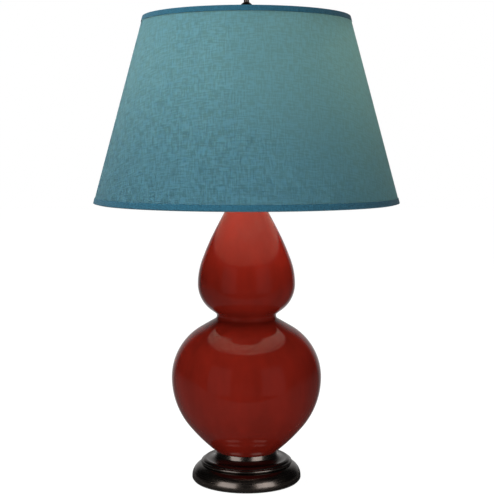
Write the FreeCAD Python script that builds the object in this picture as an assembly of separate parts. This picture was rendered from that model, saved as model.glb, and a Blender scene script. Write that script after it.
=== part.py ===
import FreeCAD, Part
import math
import os
from FreeCAD import Vector

# A double gourd table lamp: a glazed ceramic body on a turned bronze foot, carrying a
# screw-in bulb, a lift-off harp, a tapered fabric shade on a swivel stud and a finial.
# Millimetres. Z is up, the floor is Z = 0, the lamp's axis is the Z axis and its front
# faces -Y. Every moving piece is drawn where it stands when the lamp is in use.

os.makedirs("parts", exist_ok=True)

# ---- Driving dimensions ------------------------------------------------------------

# Fits and clearances
RUN_CLEARANCE = 0.05        # radial, a shaft that turns in its hole
SLIDE_CLEARANCE = 0.3       # a piece that slides past another
SEAT_CLEARANCE = 0.1        # between pieces that rest on each other and come apart
PIPE_CLEARANCE = 0.15       # radial, a hole that the lamp pipe passes through

# Turned bronze foot
FELT_INSET = 2.0            # how far the felt stands inside the foot's rim
FELT_THICKNESS = 2.0
FOOT_RADIUS = 88.0
FOOT_WALL = 3.2
FOOT_EDGE_RADIUS = 1.5
FOOT_RIM_HEIGHT = 3.2       # straight rim below the dome
DOME_RADIUS = 22.0
BEAD_RADIUS = 2.7
BEAD_INSET = 14.6           # from the foot's rim in to the ring's outermost radius
GROOVE_WIDTH = 1.6
ROLL_BOW = 0.76             # how far the convex roll above the ring stands out of its chord
ROLL_INSET = 5.2
ROLL_HEIGHT = 3.6
COVE_BOW = 2.63             # depth of the hollow curve up to the neck
FOOT_NECK_RADIUS = 50.2
FOOT_NECK_TAPER = 1.4
FOOT_NECK_HEIGHT = 6.0
FOOT_HEIGHT = 47.0
FOOT_DECK = 3.0             # thickness of the plate that carries the gourd

# Weight and clamping hardware inside the foot
WEIGHT_RADIUS = 60.0
WEIGHT_THICKNESS = 9.0
WEIGHT_GAP = 0.8            # between the weight and the roof of the foot's cavity
WEIGHT_HUB_RADIUS = 22.0
WEIGHT_EDGE_RADIUS = 2.0
WASHER_RADIUS = 12.5
WASHER_THICKNESS = 1.6
LOCK_WASHER_RADIUS = 8.6
LOCK_WASHER_THICKNESS = 1.2
LOCK_WASHER_SLANT = 30.0    # degrees that the washer's gap leans
PIPE_NUT_FLATS = 15.9
PIPE_NUT_HEIGHT = 4.8
PIPE_RADIUS = 5.15
PIPE_BORE_RADIUS = 3.8
PIPE_END_REACH = 1.8        # how far the pipe stands out below its nut

# Cord inlet at the back of the foot
INLET_HEIGHT = 9.5
INLET_HOLE_RADIUS = 4.8
INLET_BORE_RADIUS = 3.6
INLET_FLANGE_RADIUS = 6.4
INLET_FLANGE = 1.4
INLET_BOSS_RADIUS = 7.4     # pad inside the foot that the bush clamps
INLET_BOSS_DEPTH = 4.5

# Gourd: tangent arcs in half section, all with one wall thickness
SEAT_GASKET_THICKNESS = 0.8
SEAT_GASKET_RADIUS = 46.5
SEAT_GASKET_BORE = 30.0
WALL = 6.0
GOURD_FLOOR = 8.0
GOURD_HOLE_RADIUS = 8.0
BELLY_RADIUS = 120.3
BELLY_HEIGHT = 167.3
FOOT_ARC_RADIUS = 288.0
FOOT_ARC_ANGLE = -39.0      # the skin's normal where the foot arc meets the belly arc
BELLY_ARC_RADIUS = 122.0
SHOULDER_ARC_RADIUS = 93.0
SHOULDER_STRAIGHT = 27.0
WAIST_RADIUS = 47.5
WAIST_FILLET = 6.4
WAIST_STRAIGHT = 8.0
BULGE_RADIUS = 77.8         # widest radius of the upper gourd
BULGE_ARC_RADIUS = 51.0
CROWN_ARC_RADIUS = 112.0
CROWN_ARC_ANGLE = 19.8
TAPER_ARC_RADIUS = 400.0
TAPER_ANGLE = 27.9
NECK_RADIUS = 19.0
NECK_ARC_RADIUS = 60.0

# Neck hardware
NECK_GASKET_THICKNESS = 1.5
CAP_THICKNESS = 1.5
CAP_OVERHANG = 3.4
CAP_SKIRT = 5.0
CAP_DISH = 1.6
RISER_RADIUS = 8.0
RISER_HEIGHT = 12.0
RISER_LIP = 2.4             # height of each lip
RISER_WAIST_DEPTH = 1.6
SADDLE_THICKNESS = 1.6
SADDLE_WIDTH = 12.0
SADDLE_TIP_WIDTH = 6.0
SADDLE_TIP_HEIGHT = 15.0
SADDLE_RISE = 12.0
SADDLE_BEND = 7.0
SADDLE_NUT_FLATS = 15.9
SADDLE_NUT_HEIGHT = 3.2

# Lamp holder
HOLDER_CAP_WALL = 0.8
HOLDER_HUB_RADIUS = 8.0
HOLDER_HUB_HEIGHT = 7.0
HOLDER_HUB_EDGE = 1.0
HOLDER_BOWL_BEND = 4.0
HOLDER_BOWL_DROP = 4.0      # from the shell's lower edge down to the bowl's shoulder
HOLDER_CAP_HEIGHT = 20.0
HOLDER_SHELL_RADIUS = 17.4
HOLDER_SHELL_WALL = 0.6
HOLDER_SHELL_HEIGHT = 50.0
HOLDER_LAP = 4.5            # how far the shell slides into the cap
HOLDER_BEAD = 1.1
SLEEVE_WALL = 0.8
SLEEVE_GAP = 0.1
BLOCK_HEIGHT = 17.0
BLOCK_LIFT = 1.0            # from the shell's lower edge up to the block
THREAD_SHELL_WALL = 0.6
THREAD_SHELL_HEIGHT = 23.5
CONTACT_RADIUS = 4.2
CONTACT_THICKNESS = 0.6
CONTACT_RISE = 2.2
CONTACT_HOLE_GAP = 2.0      # from the contact out to the hole in the screw shell's floor
TERMINAL_SCREW_RADIUS = 3.4
TERMINAL_SCREW_HEAD = 1.26
TERMINAL_RECESS = 1.8
TERMINAL_SLOT = 0.7
SET_SCREW_RADIUS = 1.6
SET_SCREW_HEAD_RADIUS = 2.6
SET_SCREW_HEAD = 1.6

# Switch
STEM_RADIUS = 2.0
STEM_REACH = 26.0
STEM_DEPTH = 8.0            # how far the stem enters the switch block
KNOB_RADIUS = 6.4
KNOB_LENGTH = 13.0
KNOB_COLLAR_RADIUS = 4.0
KNOB_EDGE_RADIUS = 1.2
KNOB_RIBS = 12
KNOB_RIB_RADIUS = 0.7

# Bulb with a 26 mm screw base
BASE_RADIUS = 12.9
BASE_SKIRT_RADIUS = 13.6
BASE_SKIRT_HEIGHT = 5.0
BASE_HEIGHT = 23.0
BASE_WALL = 0.5
TIP_RADIUS = 4.6
TIP_FACE_RADIUS = 2.8
TIP_HEIGHT = 1.2
INSULATOR_RADIUS = 5.6
INSULATOR_TOP_RADIUS = 10.7
INSULATOR_HEIGHT = 3.4
GLOBE_RADIUS = 34.0
BULB_NECK_RADIUS = 14.6
BULB_BLEND_RADIUS = 60.0
BULB_NECK_STRAIGHT = 14.0
GLASS_WALL = 0.9
THREAD_PITCH = 3.6286       # seven turns to 25.4 mm
THREAD_DEPTH = 0.7
THREAD_RIDGES = 4

# Harp
HARP_WIRE_RADIUS = 1.9
HARP_HEIGHT = 210.94        # from the legs' ends to the middle of the eye
HARP_LEG_X = 44.4           # the legs stand this far from the lamp's axis
HARP_LEG_FLAT = 1.5         # depth of wire left beyond the leg's flattened face
HARP_LEG_STRAIGHT = 42.0
HARP_BULGE = 58.0           # half width where the sides bow out most
HARP_BULGE_DROP = 124.0     # and how far that is below the eye
HARP_SHOULDER = 55.0
HARP_SHOULDER_DROP = 51.0
HARP_CORNER = 40.0
HARP_SIDE_BEND = 120.0
HARP_LEG_BEND = 60.0
HARP_TOP_BEND = 16.0
EYE_RADIUS = 8.0
EYE_THICKNESS = 2.6
FERRULE_RADIUS = 5.6
FERRULE_WALL = 0.8
FERRULE_HEIGHT = 17.0

# Swivel stud, spider and shade
STUD_SHANK_RADIUS = 2.6
STUD_HEAD_RADIUS = 4.6
STUD_HEAD_HEIGHT = 2.0
STUD_SHOULDER_RADIUS = 6.0
STUD_SHOULDER_HEIGHT = 3.0
STUD_THREAD_RADIUS = 3.1
STUD_THREAD_HEIGHT = 13.0
SPIDER_HUB_RADIUS = 9.5
SPIDER_HUB_THICKNESS = 3.0
SPIDER_WIRE_RADIUS = 1.5
SPIDER_ARMS = 3
SPIDER_BEND = 14.0
SPIDER_RUN_OUT = 26.0       # how far inside the top ring the arms start to rise
SPIDER_DROP = 14.6          # from the shade's upper edge down to the top of the hub
SHADE_BOTTOM_RADIUS = 241.3
SHADE_TOP_RADIUS = 162.5
SHADE_HEIGHT = 289.0
FABRIC_THICKNESS = 0.8
LINER_THICKNESS = 0.8
RING_WIRE_RADIUS = 1.8
TRIM_THICKNESS = 0.7
TRIM_HEIGHT = 7.8
TRIM_INNER_HEIGHT = 5.6
TRIM_GAP = 0.05

# Finial
INSERT_RADIUS = 4.4
INSERT_LENGTH = 12.0
FINIAL_BASE_RADIUS = 8.0
FINIAL_BASE_HEIGHT = 3.0
FINIAL_NECK_RADIUS = 6.0
FINIAL_COLLAR_RADIUS = 7.6
FINIAL_COLLAR_HEIGHT = 3.0
FINIAL_COLLAR_SINK = 0.8    # how far the ball sits down into its collar
FINIAL_BALL_RADIUS = 11.25
FINIAL_BALL_RISE = 28.0     # from the finial's lower face up to the middle of its ball
FINIAL_TIP_FOOT = 3.72      # radius where the tip grows out of the ball
FINIAL_TIP_RADIUS = 4.8
FINIAL_TIP_HEIGHT = 12.5    # from the top of the ball to the top of the tip
FINIAL_EDGE_BOW = 0.4       # how round the base, the collar and the tip's sides are

# ---- Drawing helpers ---------------------------------------------------------------

ORIGIN = Vector(0, 0, 0)
UP = Vector(0, 0, 1)
FULL_TURN = 360
HEXAGON = 6
TOUCHING = 1e-6


def at(radius, height):
    """A point of the half section: radius along +X, height along +Z."""
    return Vector(radius, 0, height)


def heading(degrees):
    """The unit vector of the half section at an angle above the horizontal."""
    return at(math.cos(math.radians(degrees)), math.sin(math.radians(degrees)))


def rounded_edges(points, radii, closed):
    """Straight runs between the points, with a tangent arc at each point that has a radius."""
    count = len(points)
    starts = list(points)
    ends = list(points)
    middles = {}
    for index, radius in enumerate(radii):
        if not radius:
            continue
        corner = points[index]
        back = (points[index - 1] - corner).normalize()
        onward = (points[(index + 1) % count] - corner).normalize()
        half_angle = back.getAngle(onward) / 2
        reach = radius / math.tan(half_angle)
        starts[index] = corner + back * reach
        ends[index] = corner + onward * reach
        inward = (back + onward).normalize()
        middles[index] = corner + inward * (radius / math.sin(half_angle) - radius)
    edges = []
    for index in range(count):
        if index in middles:
            edges.append(Part.Arc(starts[index], middles[index], ends[index]).toShape())
        following = (index + 1) % count
        open_end = following == 0 and not closed
        if not open_end and ends[index].distanceToPoint(starts[following]) > TOUCHING:
            edges.append(Part.LineSegment(ends[index], starts[following]).toShape())
    return edges


def section(*corners):
    """A face of the half section from corners (radius, height[, rounding])."""
    points = [at(corner[0], corner[1]) for corner in corners]
    radii = [corner[2] if len(corner) > 2 else 0 for corner in corners]
    return Part.Face(Part.Wire(rounded_edges(points, radii, True)))


def revolved(face):
    return face.revolve(ORIGIN, UP, FULL_TURN)


def turned(*corners):
    """A solid of revolution about the lamp's axis."""
    return revolved(section(*corners))


def ring(inner, outer, low, high, edge=0):
    """A round collar with its outer edges rounded."""
    return turned((inner, low), (outer, low, edge), (outer, high, edge), (inner, high))


def disc(radius, low, high):
    return Part.makeCylinder(radius, high - low, at(0, low), UP)


def hex_nut(across_flats, bore, low, high):
    """A hexagon nut with its corners turned off at both ends."""
    corner = across_flats / math.sqrt(3)
    chamfer = corner - across_flats / 2
    points = []
    for side in range(HEXAGON + 1):
        angle = math.radians(FULL_TURN * side / HEXAGON)
        points.append(Vector(corner * math.cos(angle), corner * math.sin(angle), low))
    prism = Part.Face(Part.makePolygon(points)).extrude(UP * (high - low))
    barrel = turned((bore, low), (corner - chamfer, low), (corner, low + chamfer / 2),
                    (corner, high - chamfer / 2), (corner - chamfer, high), (bore, high))
    return prism.common(barrel)


def swept(edges, profile):
    """A bar that follows a chain of tangent edges."""
    return Part.Wire(edges).makePipeShell([profile], True, False)


def round_bar(points, radii, radius, closed=False):
    """Round wire bent along the points with tangent bends."""
    edges = rounded_edges(points, radii, closed)
    start = edges[0].Vertexes[0].Point
    along = points[1] - points[0]
    profile = Part.Wire(Part.makeCircle(radius, start, along))
    return swept(edges, profile)


def to_front(shape, height):
    """Lays a shape that was drawn about the Z axis along -Y at a height."""
    laid = shape.copy()
    laid.rotate(ORIGIN, Vector(1, 0, 0), 90)
    laid.translate(UP * height)
    return laid


def to_back(shape, height):
    """Lays a shape that was drawn about the Z axis along +Y at a height."""
    laid = shape.copy()
    laid.rotate(ORIGIN, Vector(1, 0, 0), -90)
    laid.translate(UP * height)
    return laid


def save(name, shape):
    solids = shape.Solids
    if not shape.isValid() or not solids:
        raise ValueError("%s is not a valid solid" % name)
    if len(solids) == 1:
        shape = solids[0]
    shape.exportStep("parts/%s.step" % name)
    box = shape.BoundBox
    print("%-18s solids %d  volume %10.1f  x %7.2f %7.2f  y %7.2f %7.2f  z %7.2f %7.2f"
          % (name, len(solids), shape.Volume, box.XMin, box.XMax, box.YMin, box.YMax,
             box.ZMin, box.ZMax))


# ---- Turned bronze foot ------------------------------------------------------------

class Pen:
    """Draws the outline of a half section from point to point."""

    def __init__(self, radius, height):
        self.first = at(radius, height)
        self.here = self.first
        self.edges = []

    def line(self, radius, height):
        there = at(radius, height)
        self.edges.append(Part.LineSegment(self.here, there).toShape())
        self.here = there

    def bow(self, radius, height, rise):
        """An arc that stands out of its chord, to the right of travel or left if negative."""
        there = at(radius, height)
        chord = there - self.here
        right = at(chord.z, -chord.x).normalize()
        middle = (self.here + there) * 0.5 + right * rise
        self.through(middle, there)

    def corner(self, radius, height):
        """A quarter of a round that starts along +X and ends along +Z, or +Z and then -X."""
        there = at(radius, height)
        chord = (there - self.here).Length
        self.bow(radius, height, chord * (math.sqrt(2) - 1) / 2)

    def through(self, middle, there):
        self.edges.append(Part.Arc(self.here, middle, there).toShape())
        self.here = there

    def face(self):
        self.line(self.first.x, self.first.z)
        return Part.Face(Part.Wire(self.edges))


FOOT_BOTTOM = FELT_THICKNESS
PIPE_HOLE_RADIUS = PIPE_RADIUS + PIPE_CLEARANCE
DOME_CENTRE_RADIUS = FOOT_RADIUS - DOME_RADIUS
DOME_CENTRE_HEIGHT = FOOT_BOTTOM + FOOT_RIM_HEIGHT
FELT_RADIUS = FOOT_RADIUS - FELT_INSET
GROOVE_RADIUS = FOOT_RADIUS - BEAD_INSET - BEAD_RADIUS
GROOVE_OUTER_RADIUS = GROOVE_RADIUS + GROOVE_WIDTH
GROOVE_HEIGHT = DOME_CENTRE_HEIGHT + math.sqrt(
    DOME_RADIUS ** 2 - (GROOVE_OUTER_RADIUS - DOME_CENTRE_RADIUS) ** 2)
NECK_BASE_HEIGHT = FOOT_HEIGHT - FOOT_NECK_HEIGHT
CAVITY_TOP = GROOVE_HEIGHT - FOOT_WALL
WEIGHT_TOP = CAVITY_TOP - WEIGHT_GAP
WEIGHT_BOTTOM = WEIGHT_TOP - WEIGHT_THICKNESS

# The bush's outer flange sits on a spot face that just clears the dome above it
INLET_FACE_RADIUS = INLET_FLANGE_RADIUS + SLIDE_CLEARANCE
INLET_FACE_SKIN = DOME_CENTRE_RADIUS + math.sqrt(
    DOME_RADIUS ** 2 - (INLET_HEIGHT + INLET_FACE_RADIUS - DOME_CENTRE_HEIGHT) ** 2)
INLET_FACE = math.sqrt(INLET_FACE_SKIN ** 2 - INLET_FACE_RADIUS ** 2)
INLET_BACK = INLET_FACE - INLET_BOSS_DEPTH


def base_shell():
    """Cast and turned foot: rim, dome, groove, ring, roll, cove and neck, open below."""
    bead_top = GROOVE_HEIGHT + 2 * BEAD_RADIUS
    roll_radius = GROOVE_RADIUS - ROLL_INSET
    pen = Pen(PIPE_HOLE_RADIUS, FOOT_BOTTOM)
    pen.line(FOOT_RADIUS - FOOT_EDGE_RADIUS, FOOT_BOTTOM)
    pen.corner(FOOT_RADIUS, FOOT_BOTTOM + FOOT_EDGE_RADIUS)
    pen.line(FOOT_RADIUS, DOME_CENTRE_HEIGHT)
    rise = math.asin((GROOVE_HEIGHT - DOME_CENTRE_HEIGHT) / DOME_RADIUS) / 2
    dome_centre = at(DOME_CENTRE_RADIUS, DOME_CENTRE_HEIGHT)
    pen.through(dome_centre + heading(math.degrees(rise)) * DOME_RADIUS,
                at(GROOVE_OUTER_RADIUS, GROOVE_HEIGHT))
    pen.line(GROOVE_RADIUS, GROOVE_HEIGHT)
    pen.bow(GROOVE_RADIUS, bead_top, BEAD_RADIUS)
    pen.bow(roll_radius, bead_top + ROLL_HEIGHT, ROLL_BOW)
    pen.bow(FOOT_NECK_RADIUS, NECK_BASE_HEIGHT, -COVE_BOW)
    pen.line(FOOT_NECK_RADIUS - FOOT_NECK_TAPER, FOOT_HEIGHT)
    pen.line(PIPE_HOLE_RADIUS, FOOT_HEIGHT)
    inner_rim = FOOT_RADIUS - FOOT_WALL
    inner_neck = FOOT_NECK_RADIUS - FOOT_NECK_TAPER - FOOT_WALL
    cavity = turned((0, FOOT_BOTTOM), (inner_rim, FOOT_BOTTOM),
                    (inner_rim, CAVITY_TOP, DOME_RADIUS - FOOT_WALL),
                    (inner_neck, CAVITY_TOP, FOOT_WALL),
                    (inner_neck, FOOT_HEIGHT - FOOT_DECK), (0, FOOT_HEIGHT - FOOT_DECK))
    casting = revolved(pen.face())
    boss = to_back(disc(INLET_BOSS_RADIUS, INLET_BACK, FOOT_RADIUS), INLET_HEIGHT).common(casting)
    spot_face = to_back(disc(INLET_FACE_RADIUS, INLET_FACE, 2 * FOOT_RADIUS), INLET_HEIGHT)
    hole = to_back(disc(INLET_HOLE_RADIUS, DOME_CENTRE_RADIUS, FOOT_RADIUS), INLET_HEIGHT)
    return casting.cut(cavity).fuse(boss).cut(spot_face).cut(hole).removeSplitter()


def base_weight():
    """Cast iron slug with a hub that bears on the underside of the foot's deck."""
    hub_top = FOOT_HEIGHT - FOOT_DECK
    edge = WEIGHT_EDGE_RADIUS
    return turned((PIPE_HOLE_RADIUS, WEIGHT_BOTTOM), (WEIGHT_RADIUS, WEIGHT_BOTTOM, edge),
                  (WEIGHT_RADIUS, WEIGHT_TOP, edge), (WEIGHT_HUB_RADIUS, WEIGHT_TOP, edge),
                  (WEIGHT_HUB_RADIUS, hub_top), (PIPE_HOLE_RADIUS, hub_top))


def cord_bush():
    """Sleeve that lines the cord's hole, flanged on both faces of the boss."""
    sleeve = INLET_HOLE_RADIUS - RUN_CLEARANCE
    inside = INLET_BACK - RUN_CLEARANCE
    outside = INLET_FACE + RUN_CLEARANCE
    edge = INLET_FLANGE / 3
    bush = turned((INLET_BORE_RADIUS, inside - INLET_FLANGE),
                  (INLET_FLANGE_RADIUS, inside - INLET_FLANGE, edge),
                  (INLET_FLANGE_RADIUS, inside), (sleeve, inside), (sleeve, outside),
                  (INLET_FLANGE_RADIUS, outside), (INLET_FLANGE_RADIUS, outside + INLET_FLANGE, edge),
                  (INLET_BORE_RADIUS, outside + INLET_FLANGE))
    return to_back(bush, INLET_HEIGHT)


WASHER_BOTTOM = WEIGHT_BOTTOM - WASHER_THICKNESS
LOCK_WASHER_BOTTOM = WASHER_BOTTOM - LOCK_WASHER_THICKNESS
PIPE_NUT_BOTTOM = LOCK_WASHER_BOTTOM - PIPE_NUT_HEIGHT
PIPE_BOTTOM = PIPE_NUT_BOTTOM - PIPE_END_REACH


def lock_washer():
    """Split spring washer: a collar with a slanted gap."""
    collar = ring(PIPE_HOLE_RADIUS, LOCK_WASHER_RADIUS, LOCK_WASHER_BOTTOM, WASHER_BOTTOM)
    gap = Part.makeBox(LOCK_WASHER_RADIUS, LOCK_WASHER_THICKNESS, 3 * LOCK_WASHER_THICKNESS,
                       Vector(0, -LOCK_WASHER_THICKNESS / 2, LOCK_WASHER_BOTTOM - LOCK_WASHER_THICKNESS))
    gap.rotate(at(LOCK_WASHER_RADIUS, LOCK_WASHER_BOTTOM), Vector(1, 0, 0), LOCK_WASHER_SLANT)
    return collar.cut(gap)


# ---- Gourd -------------------------------------------------------------------------

class SkinArc:
    """An arc of the gourd's skin between two angles of its outward normal.

    The radius is negative where the skin is hollow, so that a line at a depth under the
    skin keeps the arc's centre and has the radius less the depth.
    """

    def __init__(self, centre, radius, start, end):
        self.centre = centre
        self.radius = radius
        self.start = start
        self.end = end

    def point(self, angle, depth):
        return self.centre + heading(angle) * (self.radius - depth)

    def angle_at(self, height, depth):
        return math.degrees(math.asin((height - self.centre.z) / (self.radius - depth)))

    def edge(self, depth):
        middle = (self.start + self.end) / 2
        return Part.Arc(self.point(self.start, depth), self.point(middle, depth),
                        self.point(self.end, depth)).toShape()


def centre_rise(radius_sum, straight, offset):
    """Height between two arc centres that a straight of this length joins tangentially."""
    return math.sqrt(radius_sum ** 2 + straight ** 2 - offset ** 2)


def gourd_skin(foot_height):
    """The skin's arcs from the foot to the top of the neck; straight runs join them."""
    belly = at(BELLY_RADIUS - BELLY_ARC_RADIUS, BELLY_HEIGHT)
    under = SkinArc(belly, BELLY_ARC_RADIUS, FOOT_ARC_ANGLE, 0)
    foot_centre = belly - heading(FOOT_ARC_ANGLE) * (FOOT_ARC_RADIUS - BELLY_ARC_RADIUS)
    foot = SkinArc(foot_centre, FOOT_ARC_RADIUS, 0, FOOT_ARC_ANGLE)
    foot.start = foot.angle_at(foot_height, 0)

    shoulder_centre = at(BELLY_RADIUS - SHOULDER_ARC_RADIUS, BELLY_HEIGHT)
    waist_offset = WAIST_RADIUS + WAIST_FILLET - shoulder_centre.x
    shoulder_sum = SHOULDER_ARC_RADIUS + WAIST_FILLET
    waist_rise = centre_rise(shoulder_sum, SHOULDER_STRAIGHT, waist_offset)
    flare_angle = math.degrees(math.atan2(waist_rise, waist_offset)
                               - math.atan2(SHOULDER_STRAIGHT, shoulder_sum))
    shoulder = SkinArc(shoulder_centre, SHOULDER_ARC_RADIUS, 0, flare_angle)

    waist_centre = shoulder_centre + at(waist_offset, waist_rise)
    bulge_offset = BULGE_RADIUS - BULGE_ARC_RADIUS - waist_centre.x
    bulge_sum = BULGE_ARC_RADIUS + WAIST_FILLET
    bulge_rise = centre_rise(bulge_sum, WAIST_STRAIGHT, bulge_offset)
    under_angle = math.degrees(math.atan2(bulge_rise, bulge_offset)
                               - math.atan2(bulge_sum, WAIST_STRAIGHT)) - 90
    waist = SkinArc(waist_centre, -WAIST_FILLET, flare_angle, under_angle)

    bulge_centre = waist_centre + at(bulge_offset, bulge_rise)
    bulge = SkinArc(bulge_centre, BULGE_ARC_RADIUS, under_angle, 0)
    crown_centre = bulge_centre + at(BULGE_ARC_RADIUS - CROWN_ARC_RADIUS, 0)
    crown = SkinArc(crown_centre, CROWN_ARC_RADIUS, 0, CROWN_ARC_ANGLE)
    taper_centre = crown_centre - heading(CROWN_ARC_ANGLE) * (TAPER_ARC_RADIUS - CROWN_ARC_RADIUS)
    taper = SkinArc(taper_centre, TAPER_ARC_RADIUS, CROWN_ARC_ANGLE, TAPER_ANGLE)

    cone_start = taper.point(TAPER_ANGLE, 0)
    cone_end_radius = NECK_RADIUS + NECK_ARC_RADIUS - NECK_ARC_RADIUS * heading(TAPER_ANGLE).x
    cone_rise = (cone_start.x - cone_end_radius) / math.tan(math.radians(TAPER_ANGLE))
    cone_end = at(cone_end_radius, cone_start.z + cone_rise)
    neck_centre = cone_end + heading(TAPER_ANGLE) * NECK_ARC_RADIUS
    neck = SkinArc(neck_centre, -NECK_ARC_RADIUS, TAPER_ANGLE, 0)
    return [foot, under, shoulder, waist, bulge, crown, taper, neck]


GOURD_BOTTOM = FOOT_HEIGHT + SEAT_GASKET_THICKNESS
SKIN = gourd_skin(GOURD_BOTTOM)
GOURD_TOP = SKIN[-1].point(0, 0).z


def skin_edges(arcs, depth):
    """The arcs at a depth under the skin, joined by their straight runs."""
    edges = []
    here = None
    for arc in arcs:
        start = arc.point(arc.start, depth)
        if here is not None and here.distanceToPoint(start) > TOUCHING:
            edges.append(Part.LineSegment(here, start).toShape())
        edges.append(arc.edge(depth))
        here = arc.point(arc.end, depth)
    return edges


def wall_between(arcs, inner_arcs, start, end):
    """A turned wall between the skin and its offset, closed by the runs start and end."""
    edges = skin_edges(arcs, 0) + skin_edges(inner_arcs, WALL)
    for run in (start, end):
        edges += rounded_edges(run, [0] * len(run), False)
    return revolved(Part.Face(Part.Wire(Part.__sortEdges__(edges))))


# The gourd is thrown in two bodies that are joined at the narrowest point of the waist
WAIST = SKIN[3]
WAIST_ANGLE = 0             # the skin's normal there points straight out
LOWER_WAIST = SkinArc(WAIST.centre, WAIST.radius, WAIST.start, WAIST_ANGLE)
UPPER_WAIST = SkinArc(WAIST.centre, WAIST.radius, WAIST_ANGLE, WAIST.end)
WAIST_JOINT = [LOWER_WAIST.point(WAIST_ANGLE, 0), LOWER_WAIST.point(WAIST_ANGLE, WALL)]


def gourd_lower():
    """Lower body of the double gourd, up to the waist, with a holed floor."""
    foot = SKIN[0]
    floor_top = GOURD_BOTTOM + GOURD_FLOOR
    inner_foot = SkinArc(foot.centre, foot.radius, foot.angle_at(floor_top, WALL), foot.end)
    floor = [inner_foot.point(inner_foot.start, WALL), at(GOURD_HOLE_RADIUS, floor_top),
             at(GOURD_HOLE_RADIUS, GOURD_BOTTOM), foot.point(foot.start, 0)]
    above = SKIN[1:3] + [LOWER_WAIST]
    return wall_between([foot] + above, [inner_foot] + above, floor, WAIST_JOINT)


def gourd_upper():
    """Upper body of the double gourd, from the waist to the open neck."""
    arcs = [UPPER_WAIST] + SKIN[4:]
    rim = [at(NECK_RADIUS - WALL, GOURD_TOP), at(NECK_RADIUS, GOURD_TOP)]
    return wall_between(arcs, arcs, WAIST_JOINT, rim)


# ---- Neck hardware -----------------------------------------------------------------

CAP_SEAT = GOURD_TOP + NECK_GASKET_THICKNESS
CAP_TOP = CAP_SEAT + CAP_THICKNESS
RISER_TOP = CAP_TOP + RISER_HEIGHT
SADDLE_TOP = RISER_TOP + SADDLE_THICKNESS
HOLDER_BOTTOM = SADDLE_TOP + SADDLE_NUT_HEIGHT
TIP_OUTER_X = HARP_LEG_X - HARP_LEG_FLAT - SLIDE_CLEARANCE
TIP_INNER_X = TIP_OUTER_X - SADDLE_THICKNESS
FERRULE_X = (TIP_INNER_X + HARP_LEG_X + HARP_WIRE_RADIUS) / 2   # round the tip and the leg
SHOULDER_HEIGHT = RISER_TOP + SADDLE_RISE   # the saddle's tips narrow here
TIP_TOP = SHOULDER_HEIGHT + SADDLE_TIP_HEIGHT


def vase_cap():
    """Shallow spun cap that covers the gourd's mouth, with a skirt round the neck."""
    rim = NECK_RADIUS + CAP_OVERHANG
    inner_rim = rim - CAP_THICKNESS
    flat = NECK_RADIUS - CAP_OVERHANG
    skirt_end = CAP_SEAT - CAP_SKIRT
    return turned((PIPE_HOLE_RADIUS, CAP_SEAT), (NECK_RADIUS, CAP_SEAT),
                  (inner_rim, CAP_SEAT - CAP_DISH), (inner_rim, skirt_end),
                  (rim, skirt_end, CAP_THICKNESS / 3), (rim, CAP_SEAT, CAP_THICKNESS),
                  (flat, CAP_TOP), (PIPE_HOLE_RADIUS, CAP_TOP))


def neck_riser():
    """Turned brass neck between the cap and the harp saddle, waisted between two lips."""
    lip = RISER_LIP
    waist = RISER_RADIUS - RISER_WAIST_DEPTH
    return turned((PIPE_HOLE_RADIUS, CAP_TOP), (RISER_RADIUS, CAP_TOP, lip / 3),
                  (RISER_RADIUS, CAP_TOP + lip, lip / 3), (waist, CAP_TOP + 2 * lip, lip),
                  (waist, RISER_TOP - 2 * lip, lip), (RISER_RADIUS, RISER_TOP - lip, lip / 3),
                  (RISER_RADIUS, RISER_TOP, lip / 3), (PIPE_HOLE_RADIUS, RISER_TOP))


def harp_saddle():
    """Flat strip bent up at both ends into the narrow tips that hold the harp."""
    middle_x = TIP_OUTER_X - SADDLE_THICKNESS / 2
    middle_z = RISER_TOP + SADDLE_THICKNESS / 2
    points = [at(-middle_x, TIP_TOP), at(-middle_x, middle_z), at(middle_x, middle_z),
              at(middle_x, TIP_TOP)]
    edges = rounded_edges(points, [0, SADDLE_BEND, SADDLE_BEND, 0], False)
    half = SADDLE_WIDTH / 2
    thin = SADDLE_THICKNESS / 2
    start = points[0]
    profile = Part.makePolygon([start + Vector(-thin, -half, 0), start + Vector(thin, -half, 0),
                                start + Vector(thin, half, 0), start + Vector(-thin, half, 0),
                                start + Vector(-thin, -half, 0)])
    strip = swept(edges, profile)
    length = 2 * (TIP_OUTER_X + SADDLE_WIDTH)
    for side in (-1, 1):
        low_y = SADDLE_TIP_WIDTH / 2 if side > 0 else -SADDLE_WIDTH
        waste = Part.makeBox(length, SADDLE_WIDTH - SADDLE_TIP_WIDTH / 2, 2 * SADDLE_TIP_HEIGHT,
                             Vector(-length / 2, low_y, SHOULDER_HEIGHT))
        strip = strip.cut(waste)
    return strip.cut(disc(PIPE_HOLE_RADIUS, CAP_TOP, HOLDER_BOTTOM))


# ---- Lamp holder -------------------------------------------------------------------

CAP_RIM_RADIUS = HOLDER_SHELL_RADIUS + SEAT_CLEARANCE + HOLDER_CAP_WALL
HOLDER_CAP_TOP = HOLDER_BOTTOM + HOLDER_CAP_HEIGHT
SHELL_BOTTOM = HOLDER_CAP_TOP - HOLDER_LAP
SHELL_TOP = SHELL_BOTTOM + HOLDER_SHELL_HEIGHT
PIPE_TOP = HOLDER_BOTTOM + HOLDER_HUB_HEIGHT
SLEEVE_RADIUS = HOLDER_SHELL_RADIUS - HOLDER_SHELL_WALL - SLEEVE_GAP
BLOCK_RADIUS = SLEEVE_RADIUS - SLEEVE_WALL - SLEEVE_GAP
BLOCK_BOTTOM = SHELL_BOTTOM + BLOCK_LIFT
BLOCK_TOP = BLOCK_BOTTOM + BLOCK_HEIGHT
THREAD_SHELL_BORE = BASE_RADIUS + SLIDE_CLEARANCE
THREAD_SHELL_TOP = BLOCK_TOP + THREAD_SHELL_HEIGHT
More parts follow.
